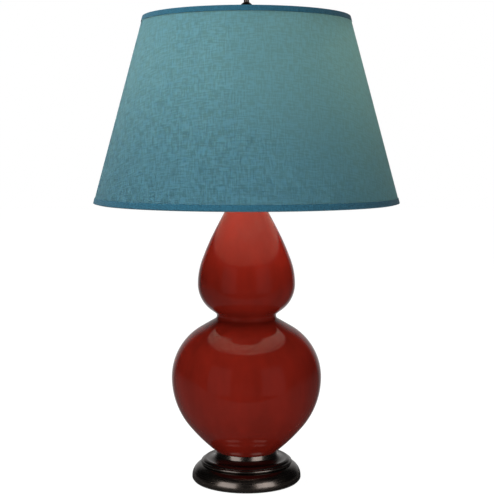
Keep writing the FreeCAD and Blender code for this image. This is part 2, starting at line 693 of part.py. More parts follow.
CONTACT_TOP = BLOCK_TOP + CONTACT_RISE
STEM_HEIGHT = BLOCK_BOTTOM + BLOCK_HEIGHT / 2
STEM_END = HOLDER_SHELL_RADIUS - STEM_DEPTH


def socket_cap():
    """Spun cup: threaded hub on the pipe, flared bowl and a straight rim."""
    bowl_top = SHELL_BOTTOM - HOLDER_BOWL_DROP
    bend = HOLDER_BOWL_BEND
    outer = [(HOLDER_HUB_RADIUS, HOLDER_BOTTOM, HOLDER_HUB_EDGE),
             (HOLDER_HUB_RADIUS, HOLDER_BOTTOM + HOLDER_HUB_HEIGHT, bend / 2),
             (CAP_RIM_RADIUS, bowl_top, bend), (CAP_RIM_RADIUS, HOLDER_CAP_TOP)]
    wall = HOLDER_CAP_WALL
    inner = [(CAP_RIM_RADIUS - wall, HOLDER_CAP_TOP), (CAP_RIM_RADIUS - wall, bowl_top + wall / 2, bend),
             (HOLDER_HUB_RADIUS, PIPE_TOP + wall), (PIPE_HOLE_RADIUS, PIPE_TOP + wall)]
    return turned((PIPE_HOLE_RADIUS, HOLDER_BOTTOM), *outer, *inner)


def cap_set_screw():
    """Cheese-head screw through the cap's hub that locks it to the pipe."""
    start = PIPE_HOLE_RADIUS + SEAT_CLEARANCE
    seat = HOLDER_HUB_RADIUS + SEAT_CLEARANCE
    end = seat + SET_SCREW_HEAD
    screw = turned((0, start), (SET_SCREW_RADIUS, start), (SET_SCREW_RADIUS, seat),
                   (SET_SCREW_HEAD_RADIUS, seat), (SET_SCREW_HEAD_RADIUS, end), (0, end))
    slot = Part.makeBox(2 * SET_SCREW_HEAD_RADIUS, SET_SCREW_HEAD / 3, SET_SCREW_HEAD / 2,
                        Vector(-SET_SCREW_HEAD_RADIUS, -SET_SCREW_HEAD / 6, end - SET_SCREW_HEAD / 2))
    screw = screw.cut(slot)
    return to_back(screw, HOLDER_BOTTOM + HOLDER_HUB_HEIGHT / 2)


def set_screw_hole():
    hole = disc(SET_SCREW_RADIUS + RUN_CLEARANCE, PIPE_RADIUS, 2 * HOLDER_HUB_RADIUS)
    return to_back(hole, HOLDER_BOTTOM + HOLDER_HUB_HEIGHT / 2)


def stem_hole(radius, depth):
    """A hole for the switch stem from the front to a depth."""
    return to_front(disc(radius, depth, HOLDER_SHELL_RADIUS + 2 * KNOB_RADIUS), STEM_HEIGHT)


def socket_shell():
    """Drawn shell with a rolled bead at its mouth and a hole for the switch stem."""
    outer = HOLDER_SHELL_RADIUS
    inner = outer - HOLDER_SHELL_WALL
    bead_low = SHELL_TOP - 2 * HOLDER_BEAD
    shell = turned((inner, SHELL_BOTTOM), (outer, SHELL_BOTTOM), (outer, bead_low),
                   (outer + HOLDER_BEAD, bead_low, HOLDER_BEAD / 2),
                   (outer + HOLDER_BEAD, SHELL_TOP, HOLDER_BEAD), (inner, SHELL_TOP))
    return shell.cut(stem_hole(STEM_RADIUS + SLIDE_CLEARANCE, 0))


def insulating_sleeve():
    top = THREAD_SHELL_TOP - SLEEVE_WALL
    sleeve = ring(SLEEVE_RADIUS - SLEEVE_WALL, SLEEVE_RADIUS, BLOCK_BOTTOM, top)
    return sleeve.cut(stem_hole(STEM_RADIUS + SLIDE_CLEARANCE, 0))


def terminal_seat(side):
    """Where a terminal screw's head sits: low on the block, to the left or right."""
    reach = BLOCK_RADIUS - TERMINAL_RECESS
    return Vector(side * reach, 0, STEM_HEIGHT), Vector(side, 0, 0)


def socket_interior():
    """Moulded block that holds the contacts, the terminals and the switch."""
    block = disc(BLOCK_RADIUS, BLOCK_BOTTOM, BLOCK_TOP)
    block = block.cut(stem_hole(STEM_RADIUS + RUN_CLEARANCE, STEM_END))
    for side in (-1, 1):
        seat, outward = terminal_seat(side)
        recess = TERMINAL_SCREW_RADIUS + SLIDE_CLEARANCE
        block = block.cut(Part.makeCylinder(recess, BLOCK_RADIUS, seat, outward))
    return block


def terminal_screws():
    """Two slotted screw heads in the block's recesses."""
    screws = []
    for side in (-1, 1):
        seat, outward = terminal_seat(side)
        head = Part.makeCylinder(TERMINAL_SCREW_RADIUS, TERMINAL_SCREW_HEAD, seat, outward)
        floor = seat + outward * (TERMINAL_SCREW_HEAD - TERMINAL_SLOT / 2)
        slot = Part.makeBox(TERMINAL_SCREW_HEAD, 2 * TERMINAL_SCREW_RADIUS, TERMINAL_SLOT)
        slot.translate(floor - Vector(0 if side > 0 else TERMINAL_SCREW_HEAD,
                                      TERMINAL_SCREW_RADIUS, TERMINAL_SLOT / 2))
        screws.append(head.cut(slot))
    return Part.makeCompound(screws)


def thread_profile(radius, low):
    """Corners of a rolled thread's wall: ridges that stand out of a radius."""
    corners = []
    for ridge in range(THREAD_RIDGES):
        root = low + ridge * THREAD_PITCH
        corners.append((radius, root, THREAD_PITCH / 8))
        corners.append((radius + THREAD_DEPTH, root + THREAD_PITCH / 2, THREAD_PITCH / 5))
    corners.append((radius, low + THREAD_RIDGES * THREAD_PITCH, THREAD_PITCH / 8))
    return corners


def screw_shell():
    """Rolled metal shell that the bulb's base screws into."""
    bore = THREAD_SHELL_BORE
    outer = bore + THREAD_SHELL_WALL
    floor = BLOCK_TOP + THREAD_SHELL_WALL
    hole = CONTACT_RADIUS + CONTACT_HOLE_GAP
    return turned((hole, BLOCK_TOP), (outer, BLOCK_TOP), (outer, THREAD_SHELL_TOP),
                  (bore, THREAD_SHELL_TOP), (bore, floor), (hole, floor))


def centre_contact():
    """Springy leaf: a foot on the block, a bent riser and a raised tongue."""
    thick = CONTACT_THICKNESS
    reach = CONTACT_RADIUS
    points = [at(reach, BLOCK_TOP + thick / 2), at(-reach, BLOCK_TOP + thick / 2),
              at(-reach, CONTACT_TOP - thick / 2), at(reach / 2, CONTACT_TOP - thick / 2)]
    edges = rounded_edges(points, [0, thick, thick, 0], False)
    half = Vector(0, reach / 2, 0)
    up = Vector(0, 0, thick / 2)
    start = points[0]
    profile = Part.makePolygon([start - half - up, start + half - up, start + half + up,
                                start - half + up, start - half - up])
    return swept(edges, profile)


# ---- Switch ------------------------------------------------------------------------

def switch_stem():
    knob_start = HOLDER_SHELL_RADIUS + STEM_REACH - KNOB_LENGTH
    stem = disc(STEM_RADIUS, STEM_END + SEAT_CLEARANCE, knob_start + KNOB_LENGTH / 2)
    return to_front(stem, STEM_HEIGHT)


def switch_knob():
    """Ribbed thumb knob on the end of the stem."""
    start = HOLDER_SHELL_RADIUS + STEM_REACH - KNOB_LENGTH
    end = start + KNOB_LENGTH
    collar = KNOB_COLLAR_RADIUS
    edge = KNOB_EDGE_RADIUS
    knob = turned((0, start), (collar, start, edge / 2), (collar, start + KNOB_LENGTH / 4, edge / 2),
                  (KNOB_RADIUS, start + KNOB_LENGTH / 3, edge), (KNOB_RADIUS, end, edge), (0, end))
    for rib in range(KNOB_RIBS):
        angle = math.radians(FULL_TURN * rib / KNOB_RIBS)
        foot = Vector(KNOB_RADIUS * math.cos(angle), KNOB_RADIUS * math.sin(angle),
                      start + KNOB_LENGTH / 3)
        groove = Part.makeCylinder(KNOB_RIB_RADIUS, KNOB_LENGTH, foot, UP)
        knob = knob.cut(groove)
    return to_front(knob.cut(disc(STEM_RADIUS, 0, start + KNOB_LENGTH / 2)), STEM_HEIGHT)


# ---- Bulb --------------------------------------------------------------------------

TIP_BOTTOM = CONTACT_TOP + SEAT_CLEARANCE
INSULATOR_BOTTOM = TIP_BOTTOM + TIP_HEIGHT
BASE_BOTTOM = INSULATOR_BOTTOM + INSULATOR_HEIGHT
BASE_TOP = BASE_BOTTOM + BASE_HEIGHT
GLASS_BOTTOM = BASE_TOP - BASE_SKIRT_HEIGHT
GLOBE_NECK_DROP = centre_rise(GLOBE_RADIUS + BULB_BLEND_RADIUS, 0,
                              BULB_NECK_RADIUS + BULB_BLEND_RADIUS)
GLOBE_CENTRE = BASE_TOP + BULB_NECK_STRAIGHT + GLOBE_NECK_DROP


def bulb_contact():
    """Soldered tip in the middle of the insulator."""
    return turned((0, TIP_BOTTOM), (TIP_FACE_RADIUS, TIP_BOTTOM), (TIP_RADIUS, INSULATOR_BOTTOM),
                  (0, INSULATOR_BOTTOM))


def bulb_insulator():
    """Glass bead between the tip and the screw base."""
    return turned((0, INSULATOR_BOTTOM), (INSULATOR_RADIUS, INSULATOR_BOTTOM),
                  (INSULATOR_TOP_RADIUS, BASE_BOTTOM), (0, BASE_BOTTOM))


def bulb_base():
    """Rolled screw base: closed bottom, thread ridges and a collar round the glass."""
    root = BASE_RADIUS - THREAD_DEPTH
    first = BASE_BOTTOM + THREAD_PITCH / 2
    ridges = thread_profile(root, first)
    bore = root - BASE_WALL
    collar_low = GLASS_BOTTOM - BASE_WALL
    collar_bore = BASE_SKIRT_RADIUS - BASE_WALL
    return turned((0, BASE_BOTTOM), (INSULATOR_TOP_RADIUS, BASE_BOTTOM), *ridges, (root, collar_low),
                  (BASE_SKIRT_RADIUS, collar_low, BASE_WALL), (BASE_SKIRT_RADIUS, BASE_TOP),
                  (collar_bore, BASE_TOP), (collar_bore, GLASS_BOTTOM), (bore, GLASS_BOTTOM),
                  (bore, BASE_BOTTOM + BASE_WALL), (0, BASE_BOTTOM + BASE_WALL))


def bulb_edges(depth):
    """The glass at a depth under its skin: neck, blend arc and globe."""
    neck = BULB_NECK_RADIUS
    blend_centre = at(neck + BULB_BLEND_RADIUS, GLOBE_CENTRE - GLOBE_NECK_DROP)
    touch = -math.degrees(math.atan2(GLOBE_NECK_DROP, blend_centre.x))
    blend = SkinArc(blend_centre, -BULB_BLEND_RADIUS, 0, touch)
    globe = SkinArc(at(0, GLOBE_CENTRE), GLOBE_RADIUS, touch, 90)
    return skin_edges([blend, globe], depth)


def bulb_glass():
    """Blown glass with a plug of a neck that sits in the base's collar."""
    plug = BASE_SKIRT_RADIUS - BASE_WALL - RUN_CLEARANCE
    low = GLASS_BOTTOM + SEAT_CLEARANCE
    shoulder = BASE_TOP + SLIDE_CLEARANCE
    start = GLOBE_CENTRE - GLOBE_NECK_DROP
    top = GLOBE_CENTRE + GLOBE_RADIUS
    bore = plug - GLASS_WALL
    lower = [at(BULB_NECK_RADIUS, start), at(BULB_NECK_RADIUS, shoulder), at(plug, shoulder),
             at(plug, low), at(bore, low), at(bore, shoulder + GLASS_WALL),
             at(BULB_NECK_RADIUS - GLASS_WALL, shoulder + GLASS_WALL),
             at(BULB_NECK_RADIUS - GLASS_WALL, start)]
    edges = rounded_edges(lower, [0] * len(lower), False)
    edges += bulb_edges(0) + bulb_edges(GLASS_WALL)
    edges.append(Part.LineSegment(at(0, top), at(0, top - GLASS_WALL)).toShape())
    return revolved(Part.Face(Part.Wire(Part.__sortEdges__(edges))))


# ---- Harp --------------------------------------------------------------------------

LEG_BOTTOM = SHOULDER_HEIGHT + SEAT_CLEARANCE
HARP_TOP = LEG_BOTTOM + HARP_HEIGHT


def harp_wire():
    """Wire loop with flattened legs, bowed sides and a flattened, pierced eye on top."""
    leg_top = LEG_BOTTOM + HARP_LEG_STRAIGHT
    right = [at(HARP_LEG_X, LEG_BOTTOM), at(HARP_LEG_X, leg_top),
             at(HARP_BULGE, HARP_TOP - HARP_BULGE_DROP),
             at(HARP_SHOULDER, HARP_TOP - HARP_SHOULDER_DROP), at(HARP_CORNER, HARP_TOP)]
    bends = [0, HARP_LEG_BEND, HARP_SIDE_BEND, HARP_SIDE_BEND, HARP_TOP_BEND]
    left = [at(-point.x, point.z) for point in reversed(right)]
    wire = round_bar(right + left, bends + bends[::-1], HARP_WIRE_RADIUS)
    half_eye = EYE_THICKNESS / 2
    flattened = EYE_RADIUS + HARP_WIRE_RADIUS / 2
    above = HARP_TOP + 2 * HARP_WIRE_RADIUS
    below = HARP_TOP - 2 * HARP_WIRE_RADIUS
    wire = wire.cut(disc(flattened, HARP_TOP + half_eye, above))
    wire = wire.cut(disc(flattened, below, HARP_TOP - half_eye))
    wire = wire.fuse(disc(EYE_RADIUS, HARP_TOP - half_eye, HARP_TOP + half_eye))
    wire = wire.cut(disc(STUD_SHANK_RADIUS + RUN_CLEARANCE, below, above))
    wide = 2 * HARP_WIRE_RADIUS
    for side in (-1, 1):
        inner_face = side * (HARP_LEG_X - HARP_LEG_FLAT)
        low_x = inner_face - wide if side > 0 else inner_face
        waste = Part.makeBox(wide, 2 * wide, FERRULE_HEIGHT + wide,
                             Vector(low_x, -wide, LEG_BOTTOM - wide / 2))
        wire = wire.cut(waste)
    return wire.removeSplitter()


def ferrule(side):
    """Sleeve that locks a harp leg to the saddle's tip, with a rolled lower edge."""
    low = SHOULDER_HEIGHT + SEAT_CLEARANCE
    bore = FERRULE_RADIUS - FERRULE_WALL
    sleeve = ring(bore, FERRULE_RADIUS, low, low + FERRULE_HEIGHT, FERRULE_WALL / 2)
    sleeve.translate(Vector(side * FERRULE_X, 0, 0))
    return sleeve


# ---- Swivel stud and spider --------------------------------------------------------

EYE_TOP = HARP_TOP + EYE_THICKNESS / 2
EYE_BOTTOM = HARP_TOP - EYE_THICKNESS / 2
STUD_SHOULDER_TOP = EYE_TOP + SEAT_CLEARANCE + STUD_SHOULDER_HEIGHT
HUB_TOP = STUD_SHOULDER_TOP + SPIDER_HUB_THICKNESS
STUD_TOP = HUB_TOP + STUD_THREAD_HEIGHT


def finial_stud():
    """Riveted swivel: head under the eye, shank, shoulder and the finial's thread."""
    head_top = EYE_BOTTOM - SEAT_CLEARANCE
    head_bottom = head_top - STUD_HEAD_HEIGHT
    shoulder_bottom = EYE_TOP + SEAT_CLEARANCE
    edge = 0.8
    return turned((0, head_bottom), (STUD_HEAD_RADIUS, head_bottom, edge),
                  (STUD_HEAD_RADIUS, head_top), (STUD_SHANK_RADIUS, head_top),
                  (STUD_SHANK_RADIUS, shoulder_bottom), (STUD_SHOULDER_RADIUS, shoulder_bottom),
                  (STUD_SHOULDER_RADIUS, STUD_SHOULDER_TOP, edge / 2),
                  (STUD_THREAD_RADIUS, STUD_SHOULDER_TOP), (STUD_THREAD_RADIUS, STUD_TOP, edge),
                  (0, STUD_TOP))


SHADE_BOTTOM = HUB_TOP + SPIDER_DROP - SHADE_HEIGHT
SHADE_FLARE = SHADE_BOTTOM_RADIUS - SHADE_TOP_RADIUS
SLANT = math.degrees(math.atan2(SHADE_FLARE, SHADE_HEIGHT))
SLANT_LENGTH = math.hypot(SHADE_FLARE, SHADE_HEIGHT)
ALONG = heading(90 + SLANT)
OUTWARD = heading(SLANT)
SHELL_DEPTH = FABRIC_THICKNESS + LINER_THICKNESS
RING_DEPTH = SHELL_DEPTH + TRIM_GAP + RING_WIRE_RADIUS


def on_shade(along, depth):
    """A point of the shade's half section, from its lower edge up and under its skin."""
    return at(SHADE_BOTTOM_RADIUS, SHADE_BOTTOM) + ALONG * along - OUTWARD * depth


def shade_section(*corners):
    """A solid of revolution from corners (along, depth[, rounding]) of the shade's wall."""
    places = [on_shade(corner[0], corner[1]) for corner in corners]
    roundings = [corner[2:] for corner in corners]
    return turned(*[(place.x, place.z) + rounding for place, rounding in zip(places, roundings)])


def shade_ring(along):
    """Wire ring inside the shade at a place along its wall."""
    centre = on_shade(along, RING_DEPTH)
    profile = Part.Face(Part.Wire(Part.makeCircle(RING_WIRE_RADIUS, centre, Vector(0, 1, 0))))
    return revolved(profile)


def shade_trim(edge, inward):
    """Folded tape over an edge of the shade: outer leg, fold and inner leg.

    inward is +1 at the lower edge and -1 at the upper one, the way from the edge to the
    middle of the shade's wall.
    """
    fold = edge - inward * TRIM_GAP
    outside = fold - inward * TRIM_THICKNESS
    outer_end = edge + inward * TRIM_HEIGHT
    inner_end = edge + inward * TRIM_INNER_HEIGHT
    inner_skin = SHELL_DEPTH + 2 * (RING_WIRE_RADIUS + TRIM_GAP)
    round_fold = TRIM_THICKNESS
    return shade_section((outer_end, -TRIM_GAP), (fold, -TRIM_GAP), (fold, inner_skin),
                         (inner_end, inner_skin), (inner_end, inner_skin + TRIM_THICKNESS),
                         (outside, inner_skin + TRIM_THICKNESS, round_fold),
                         (outside, -TRIM_GAP - TRIM_THICKNESS, round_fold),
                         (outer_end, -TRIM_GAP - TRIM_THICKNESS))


RING_INSET = RING_WIRE_RADIUS + TRIM_GAP
TOP_RING_CENTRE = on_shade(SLANT_LENGTH - RING_INSET, RING_DEPTH)


def spider_arms(radius):
    """Three wire arms that run out from the hub and rise to the top ring."""
    height = HUB_TOP - SPIDER_HUB_THICKNESS / 2
    end = TOP_RING_CENTRE
    points = [at(SPIDER_HUB_RADIUS - 1, height), at(end.x - SPIDER_RUN_OUT, height),
              at(end.x - RING_WIRE_RADIUS / 2, end.z - RING_WIRE_RADIUS / 2)]
    arm = round_bar(points, [0, SPIDER_BEND, 0], radius)
    arms = []
    for index in range(SPIDER_ARMS):
        copy = arm.copy()
        copy.rotate(ORIGIN, UP, FULL_TURN / 4 + FULL_TURN * index / SPIDER_ARMS)
        arms.append(copy)
    return Part.makeCompound(arms)


# ---- Finial ------------------------------------------------------------------------

FINIAL_BOTTOM = HUB_TOP + SEAT_CLEARANCE


def finial_knob():
    """Turned ball finial: base, waisted neck, collar, ball and a domed tip."""
    ball = FINIAL_BOTTOM + FINIAL_BALL_RISE
    neck_height = FINIAL_BOTTOM + FINIAL_BASE_HEIGHT
    collar_top = ball - FINIAL_BALL_RADIUS + FINIAL_COLLAR_SINK
    collar_bottom = collar_top - FINIAL_COLLAR_HEIGHT
    pen = Pen(0, FINIAL_BOTTOM)
    pen.line(FINIAL_BASE_RADIUS, FINIAL_BOTTOM)
    pen.bow(FINIAL_BASE_RADIUS, neck_height, FINIAL_EDGE_BOW)
    pen.line(FINIAL_NECK_RADIUS, neck_height)
    pen.line(FINIAL_NECK_RADIUS, collar_bottom - FINIAL_COLLAR_HEIGHT)
    pen.bow(FINIAL_COLLAR_RADIUS, collar_bottom, -FINIAL_EDGE_BOW)
    pen.bow(FINIAL_COLLAR_RADIUS, collar_top, FINIAL_EDGE_BOW)
    pen.line(math.sqrt(FINIAL_BALL_RADIUS ** 2 - (ball - collar_top) ** 2), collar_top)
    tip_seat = ball + math.sqrt(FINIAL_BALL_RADIUS ** 2 - FINIAL_TIP_FOOT ** 2)
    pen.through(at(FINIAL_BALL_RADIUS, ball), at(FINIAL_TIP_FOOT, tip_seat))
    top = ball + FINIAL_BALL_RADIUS + FINIAL_TIP_HEIGHT
    pen.bow(FINIAL_TIP_RADIUS, top - FINIAL_TIP_RADIUS, -FINIAL_EDGE_BOW)
    pen.corner(0, top)
    bore_radius = INSERT_RADIUS + RUN_CLEARANCE
    pilot = disc(STUD_THREAD_RADIUS + RUN_CLEARANCE, FINIAL_BOTTOM, STUD_TOP + SEAT_CLEARANCE)
    bore = disc(bore_radius, FINIAL_BOTTOM, FINIAL_BOTTOM + INSERT_LENGTH + SEAT_CLEARANCE)
    return revolved(pen.face()).cut(bore).cut(pilot)


def finial_insert():
    """Threaded brass bush inside the finial's base."""
    return ring(STUD_THREAD_RADIUS + RUN_CLEARANCE, INSERT_RADIUS, FINIAL_BOTTOM,
                FINIAL_BOTTOM + INSERT_LENGTH)


# ---- Every piece, from the floor up ------------------------------------------------

save("felt_pad", disc(FELT_RADIUS, 0, FELT_THICKNESS))
save("base_shell", base_shell())
save("base_weight", base_weight())
save("cord_bush", cord_bush())
save("pipe_washer", ring(PIPE_HOLE_RADIUS, WASHER_RADIUS, WASHER_BOTTOM, WEIGHT_BOTTOM))
save("lock_washer", lock_washer())
save("pipe_nut", hex_nut(PIPE_NUT_FLATS, PIPE_HOLE_RADIUS, PIPE_NUT_BOTTOM, LOCK_WASHER_BOTTOM))
save("lamp_pipe", ring(PIPE_BORE_RADIUS, PIPE_RADIUS, PIPE_BOTTOM, PIPE_TOP))
save("seat_gasket", ring(SEAT_GASKET_BORE, SEAT_GASKET_RADIUS, FOOT_HEIGHT, GOURD_BOTTOM))
save("gourd_lower", gourd_lower())
save("gourd_upper", gourd_upper())
save("neck_gasket", ring(NECK_RADIUS - WALL, NECK_RADIUS - 1, GOURD_TOP, CAP_SEAT))
save("vase_cap", vase_cap())
save("neck_riser", neck_riser())
save("harp_saddle", harp_saddle())
save("saddle_nut", hex_nut(SADDLE_NUT_FLATS, PIPE_HOLE_RADIUS, SADDLE_TOP, HOLDER_BOTTOM))
save("socket_cap", socket_cap().cut(set_screw_hole()))
save("cap_set_screw", cap_set_screw())
save("socket_shell", socket_shell())
save("insulating_sleeve", insulating_sleeve())
save("socket_interior", socket_interior())
save("terminal_screws", terminal_screws())
save("screw_shell", screw_shell())
save("centre_contact", centre_contact())
save("switch_stem", switch_stem())
save("switch_knob", switch_knob())
save("bulb_contact", bulb_contact())
save("bulb_insulator", bulb_insulator())
save("bulb_base", bulb_base())
save("bulb_glass", bulb_glass())
save("harp_wire", harp_wire())
save("ferrule_left", ferrule(-1))
save("ferrule_right", ferrule(1))
save("finial_stud", finial_stud())
save("spider_hub", ring(STUD_THREAD_RADIUS + SEAT_CLEARANCE, SPIDER_HUB_RADIUS,
                        STUD_SHOULDER_TOP, HUB_TOP, SPIDER_HUB_THICKNESS / 4))
save("spider_arms", spider_arms(SPIDER_WIRE_RADIUS))
save("top_ring", shade_ring(SLANT_LENGTH - RING_INSET))
save("bottom_ring", shade_ring(RING_INSET))
save("shade_liner", shade_section((0, SHELL_DEPTH), (0, FABRIC_THICKNESS),
                                  (SLANT_LENGTH, FABRIC_THICKNESS), (SLANT_LENGTH, SHELL_DEPTH)))
save("shade_fabric", shade_section((0, FABRIC_THICKNESS), (0, 0), (SLANT_LENGTH, 0),
                                   (SLANT_LENGTH, FABRIC_THICKNESS)))
notches = spider_arms(SPIDER_WIRE_RADIUS + SLIDE_CLEARANCE)
save("top_trim", shade_trim(SLANT_LENGTH, -1).cut(notches))
save("bottom_trim", shade_trim(0, 1))
save("finial_insert", finial_insert())
save("finial_knob", finial_knob())
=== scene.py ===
import math
from functools import partial

import bpy
from bpy.props import FloatProperty, FloatVectorProperty, IntProperty, PointerProperty
from mathutils import Matrix, Vector


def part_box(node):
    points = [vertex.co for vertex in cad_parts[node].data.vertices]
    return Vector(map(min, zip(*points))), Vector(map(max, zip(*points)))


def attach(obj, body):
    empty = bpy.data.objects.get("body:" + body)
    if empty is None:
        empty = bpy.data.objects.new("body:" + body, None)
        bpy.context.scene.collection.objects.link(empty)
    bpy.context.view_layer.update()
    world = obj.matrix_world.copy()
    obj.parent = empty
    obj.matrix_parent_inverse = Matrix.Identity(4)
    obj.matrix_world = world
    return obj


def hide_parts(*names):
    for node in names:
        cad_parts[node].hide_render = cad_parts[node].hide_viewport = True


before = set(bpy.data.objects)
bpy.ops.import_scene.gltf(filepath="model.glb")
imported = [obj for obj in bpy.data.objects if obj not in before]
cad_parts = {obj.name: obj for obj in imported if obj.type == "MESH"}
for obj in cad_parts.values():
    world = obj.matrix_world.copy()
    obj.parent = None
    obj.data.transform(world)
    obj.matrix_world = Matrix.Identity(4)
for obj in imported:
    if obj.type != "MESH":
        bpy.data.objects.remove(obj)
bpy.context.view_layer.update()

bl_info = {
    "name": "Double Gourd Table Lamp",
    "version": (1, 0, 0),
    "blender": (4, 5, 0),
    "location": "View3D > Sidebar > Lamp",
    "description": "Dresses the measured frame of a glazed double gourd lamp with a teal cloth shade",
    "category": "Object",
}

MM = 0.001
WELD = 2e-6  # points nearer than this are one point
ARC_STEP = math.radians(3.0)  # a drawn arc has a point at least this often
SHARP = math.radians(35)  # an edge that bends more than this stays sharp
OUTER_STEPS = 4  # points along a straight run of the gourd's skin, and of its inside
INNER_STEPS = 2
DRILL_SIDES = 48
DRILL_PAST = 10 * MM  # how far outside a piece its drill starts
BOX_TOLERANCE = 0.5 * MM  # between a piece's box and its nodes' box

NOISE_SPAN = {"From Min": 0.3, "From Max": 0.7}  # nearly all of a noise texture lies in it
GLOSSIEST, ROUGHEST = 0.85, 1.2  # a moulded surface's roughness varies between these shares of it
BLACK_LIFT = 0.02  # how much its colour's variation adds where the colour is black
SLUB = 0.16  # thickness of a thread's slub over its length
# Painted shade: the share of the tape's colour painted between its raised threads.
TAPE_PAINTED_SHADE = 0.7  # the tape between its raised threads, against its own colour

SENSOR_WIDTH = 36  # millimetres
SOFTBOX_SIZE = (1.3, 1.8)  # metres, like the lengths below
METAL_BOX_NEARER = 0.1  # so that the two kinds of softbox don't coincide
MOUTH_SHARE = 0.8  # diameter of the light in the shade's mouth, over the mouth's own
TABLE_SIZE = (12, 8)
TABLE_BACK = 3.6  # how far the middle of the table lies behind the lamp
TABLE_GREY = (0.1, 0.1, 0.1, 1)
TABLE_WHITE, TABLE_BOUNCE = 0.98, 0.28  # its glow in the camera's sight, and onto the lamp
BEHIND_FROM, BEHIND_TO = 0.74, 0.94  # a direction's Y, where dark turns to light behind the lamp
GLOSS_BEFORE, GLOSS_BEHIND = 0.01, 0.4  # how bright a reflection is before and behind it


# ---- Sizes and colours that a user would change ----


def linear(code):
    """A colour written as sRGB hex, in linear light."""
    channels = [int(code[at : at + 2], 16) / 255 for at in (1, 3, 5)]
    return tuple(c / 12.92 if c <= 0.04045 else ((c + 0.055) / 1.055) ** 2.4 for c in channels)


def length(name, millimetres, description):
    size = millimetres * MM
    return FloatProperty(name=name, description=description, default=size, unit="LENGTH", subtype="DISTANCE")


def angle(name, degrees, description):
    turn = math.radians(degrees)
    return FloatProperty(name=name, description=description, default=turn, unit="ROTATION", subtype="ANGLE")


def facets(number, description):
    return IntProperty(name="Segments", description=description, default=number, min=24)


def power(name, watts, description):
    return FloatProperty(name=name, description=description, default=watts, unit="POWER")


def colour(name, code, description):
    return FloatVectorProperty(
        name=name, description=description, default=linear(code), subtype="COLOR", min=0, max=1
    )


class GourdSizes(bpy.types.PropertyGroup):
    """Half section of the gourd: tangent arcs from its foot to its neck"""

    wall: length("Wall", 6, "Thickness of the thrown wall")
    floor: length("Floor", 8, "Thickness of the floor that stands on the foot")
    hole: length("Hole", 8, "Radius of the hole for the lamp pipe")
    belly: length("Belly", 120.3, "Widest radius of the lower gourd")
    belly_height: length("Belly height", 167.3, "Height of the widest place above the table")
    foot_arc: length("Foot arc", 288, "Radius of the long curve down to the foot")
    foot_angle: angle("Foot angle", -39, "Slope at which the foot's curve meets the belly's")
    belly_arc: length("Belly arc", 122, "Radius of the belly's curve")
    shoulder_arc: length("Shoulder arc", 93, "Radius of the shoulder's curve")
    shoulder_straight: length("Shoulder straight", 27, "Straight run from the shoulder to the waist")
    waist: length("Waist", 47.5, "Narrowest radius between the two gourds")
    waist_fillet: length("Waist fillet", 6.4, "Radius of the hollow at the waist")
    waist_straight: length("Waist straight", 8, "Straight run from the waist to the upper gourd")
    bulge: length("Upper gourd", 77.8, "Widest radius of the upper gourd")
    bulge_arc: length("Upper arc", 51, "Radius of the upper gourd's lower curve")
    crown_arc: length("Crown arc", 112, "Radius of the upper gourd's curve above its widest place")
    crown_angle: angle("Crown angle", 19.8, "Slope at which the crown meets the taper")
    taper_arc: length("Taper arc", 400, "Radius of the long taper")
    taper_angle: angle("Taper angle", 27.9, "Slope of the cone below the neck")
    neck: length("Neck", 19, "Radius of the open neck")
    neck_arc: length("Neck arc", 60, "Radius of the hollow curve into the neck")
    segments: facets(240, "Faces round the gourd")


class FootSizes(bpy.types.PropertyGroup):
    """Half section of the turned foot and the felt under it"""

    radius: length("Radius", 88, "Radius of the rim")
    wall: length("Wall", 3.2, "Thickness of the casting")
    edge: length("Edge", 1.5, "Rounding of the rim's lower edge")
    rim: length("Rim", 3.2, "Height of the straight rim under the dome")
    dome: length("Dome", 22, "Radius of the dome in section")
    bead: length("Ring", 2.7, "Radius of the ring in section")
    bead_inset: length("Ring inset", 14.6, "From the rim in to the ring's outermost place")
    groove: length("Groove", 1.6, "Width of the groove outside the ring")
    roll_inset: length("Roll inset", 5.2, "Width of the convex roll above the ring")
    roll_height: length("Roll height", 3.6, "Height of the roll")
    roll_bow: length("Roll bow", 0.76, "How far the roll stands out of its chord")
    cove_bow: length("Cove bow", 2.63, "Depth of the hollow curve up to the neck")
    neck: length("Neck", 50.2, "Radius where the neck begins")
    neck_taper: length("Neck taper", 1.4, "How much the neck narrows")
    neck_height: length("Neck height", 6, "Height of the neck")
    deck: length("Deck", 3, "Thickness of the plate under the gourd")
    pipe_hole: length("Pipe hole", 5.3, "Radius of the hole for the lamp pipe")
    inlet_height: length("Inlet height", 9.5, "Height of the cord's hole at the back")
    inlet_hole: length("Inlet hole", 4.8, "Radius of the cord's hole")
    inlet_face: length("Inlet face", 6.7, "Radius of the flat round the cord's hole")
    inlet_seat: length("Inlet seat", 1.45, "From the bush's outer face in to that flat")
    felt_edge: length("Felt edge", 0.7, "Rounding of the felt's cut edge")
    segments: facets(192, "Faces round the foot")


class ShadeSizes(bpy.types.PropertyGroup):
    """The tapered shade: cloth on a stiff liner, taped at both edges over wire rings"""

    bottom: length("Bottom radius", 241.3, "Radius of the cloth's lower edge")
    top: length("Top radius", 162.5, "Radius of the cloth's upper edge")
    height: length("Height", 289, "Height of the cloth")
    cloth: length("Cloth", 0.8, "Thickness of the cloth")
    liner: length("Liner", 0.8, "Thickness of the liner")
    wire: length("Ring wire", 1.8, "Radius of the ring's wire")
    tape: length("Tape", 0.7, "Thickness of the edge tape")
    tape_outside: length("Tape outside", 7.8, "Height of the tape on the outside")
    tape_inside: length("Tape inside", 5.6, "Height of the tape on the inside")
    gap: length("Gap", 0.05, "Space between the glued layers")
    lap: length("Lap", 0.35, "How far the cloth's lapped end stands proud at the back")
    lap_facets: IntProperty(name="Lap facets", description="Faces that the lap is wide", default=2, min=1)
    segments: facets(192, "Faces round the shade")


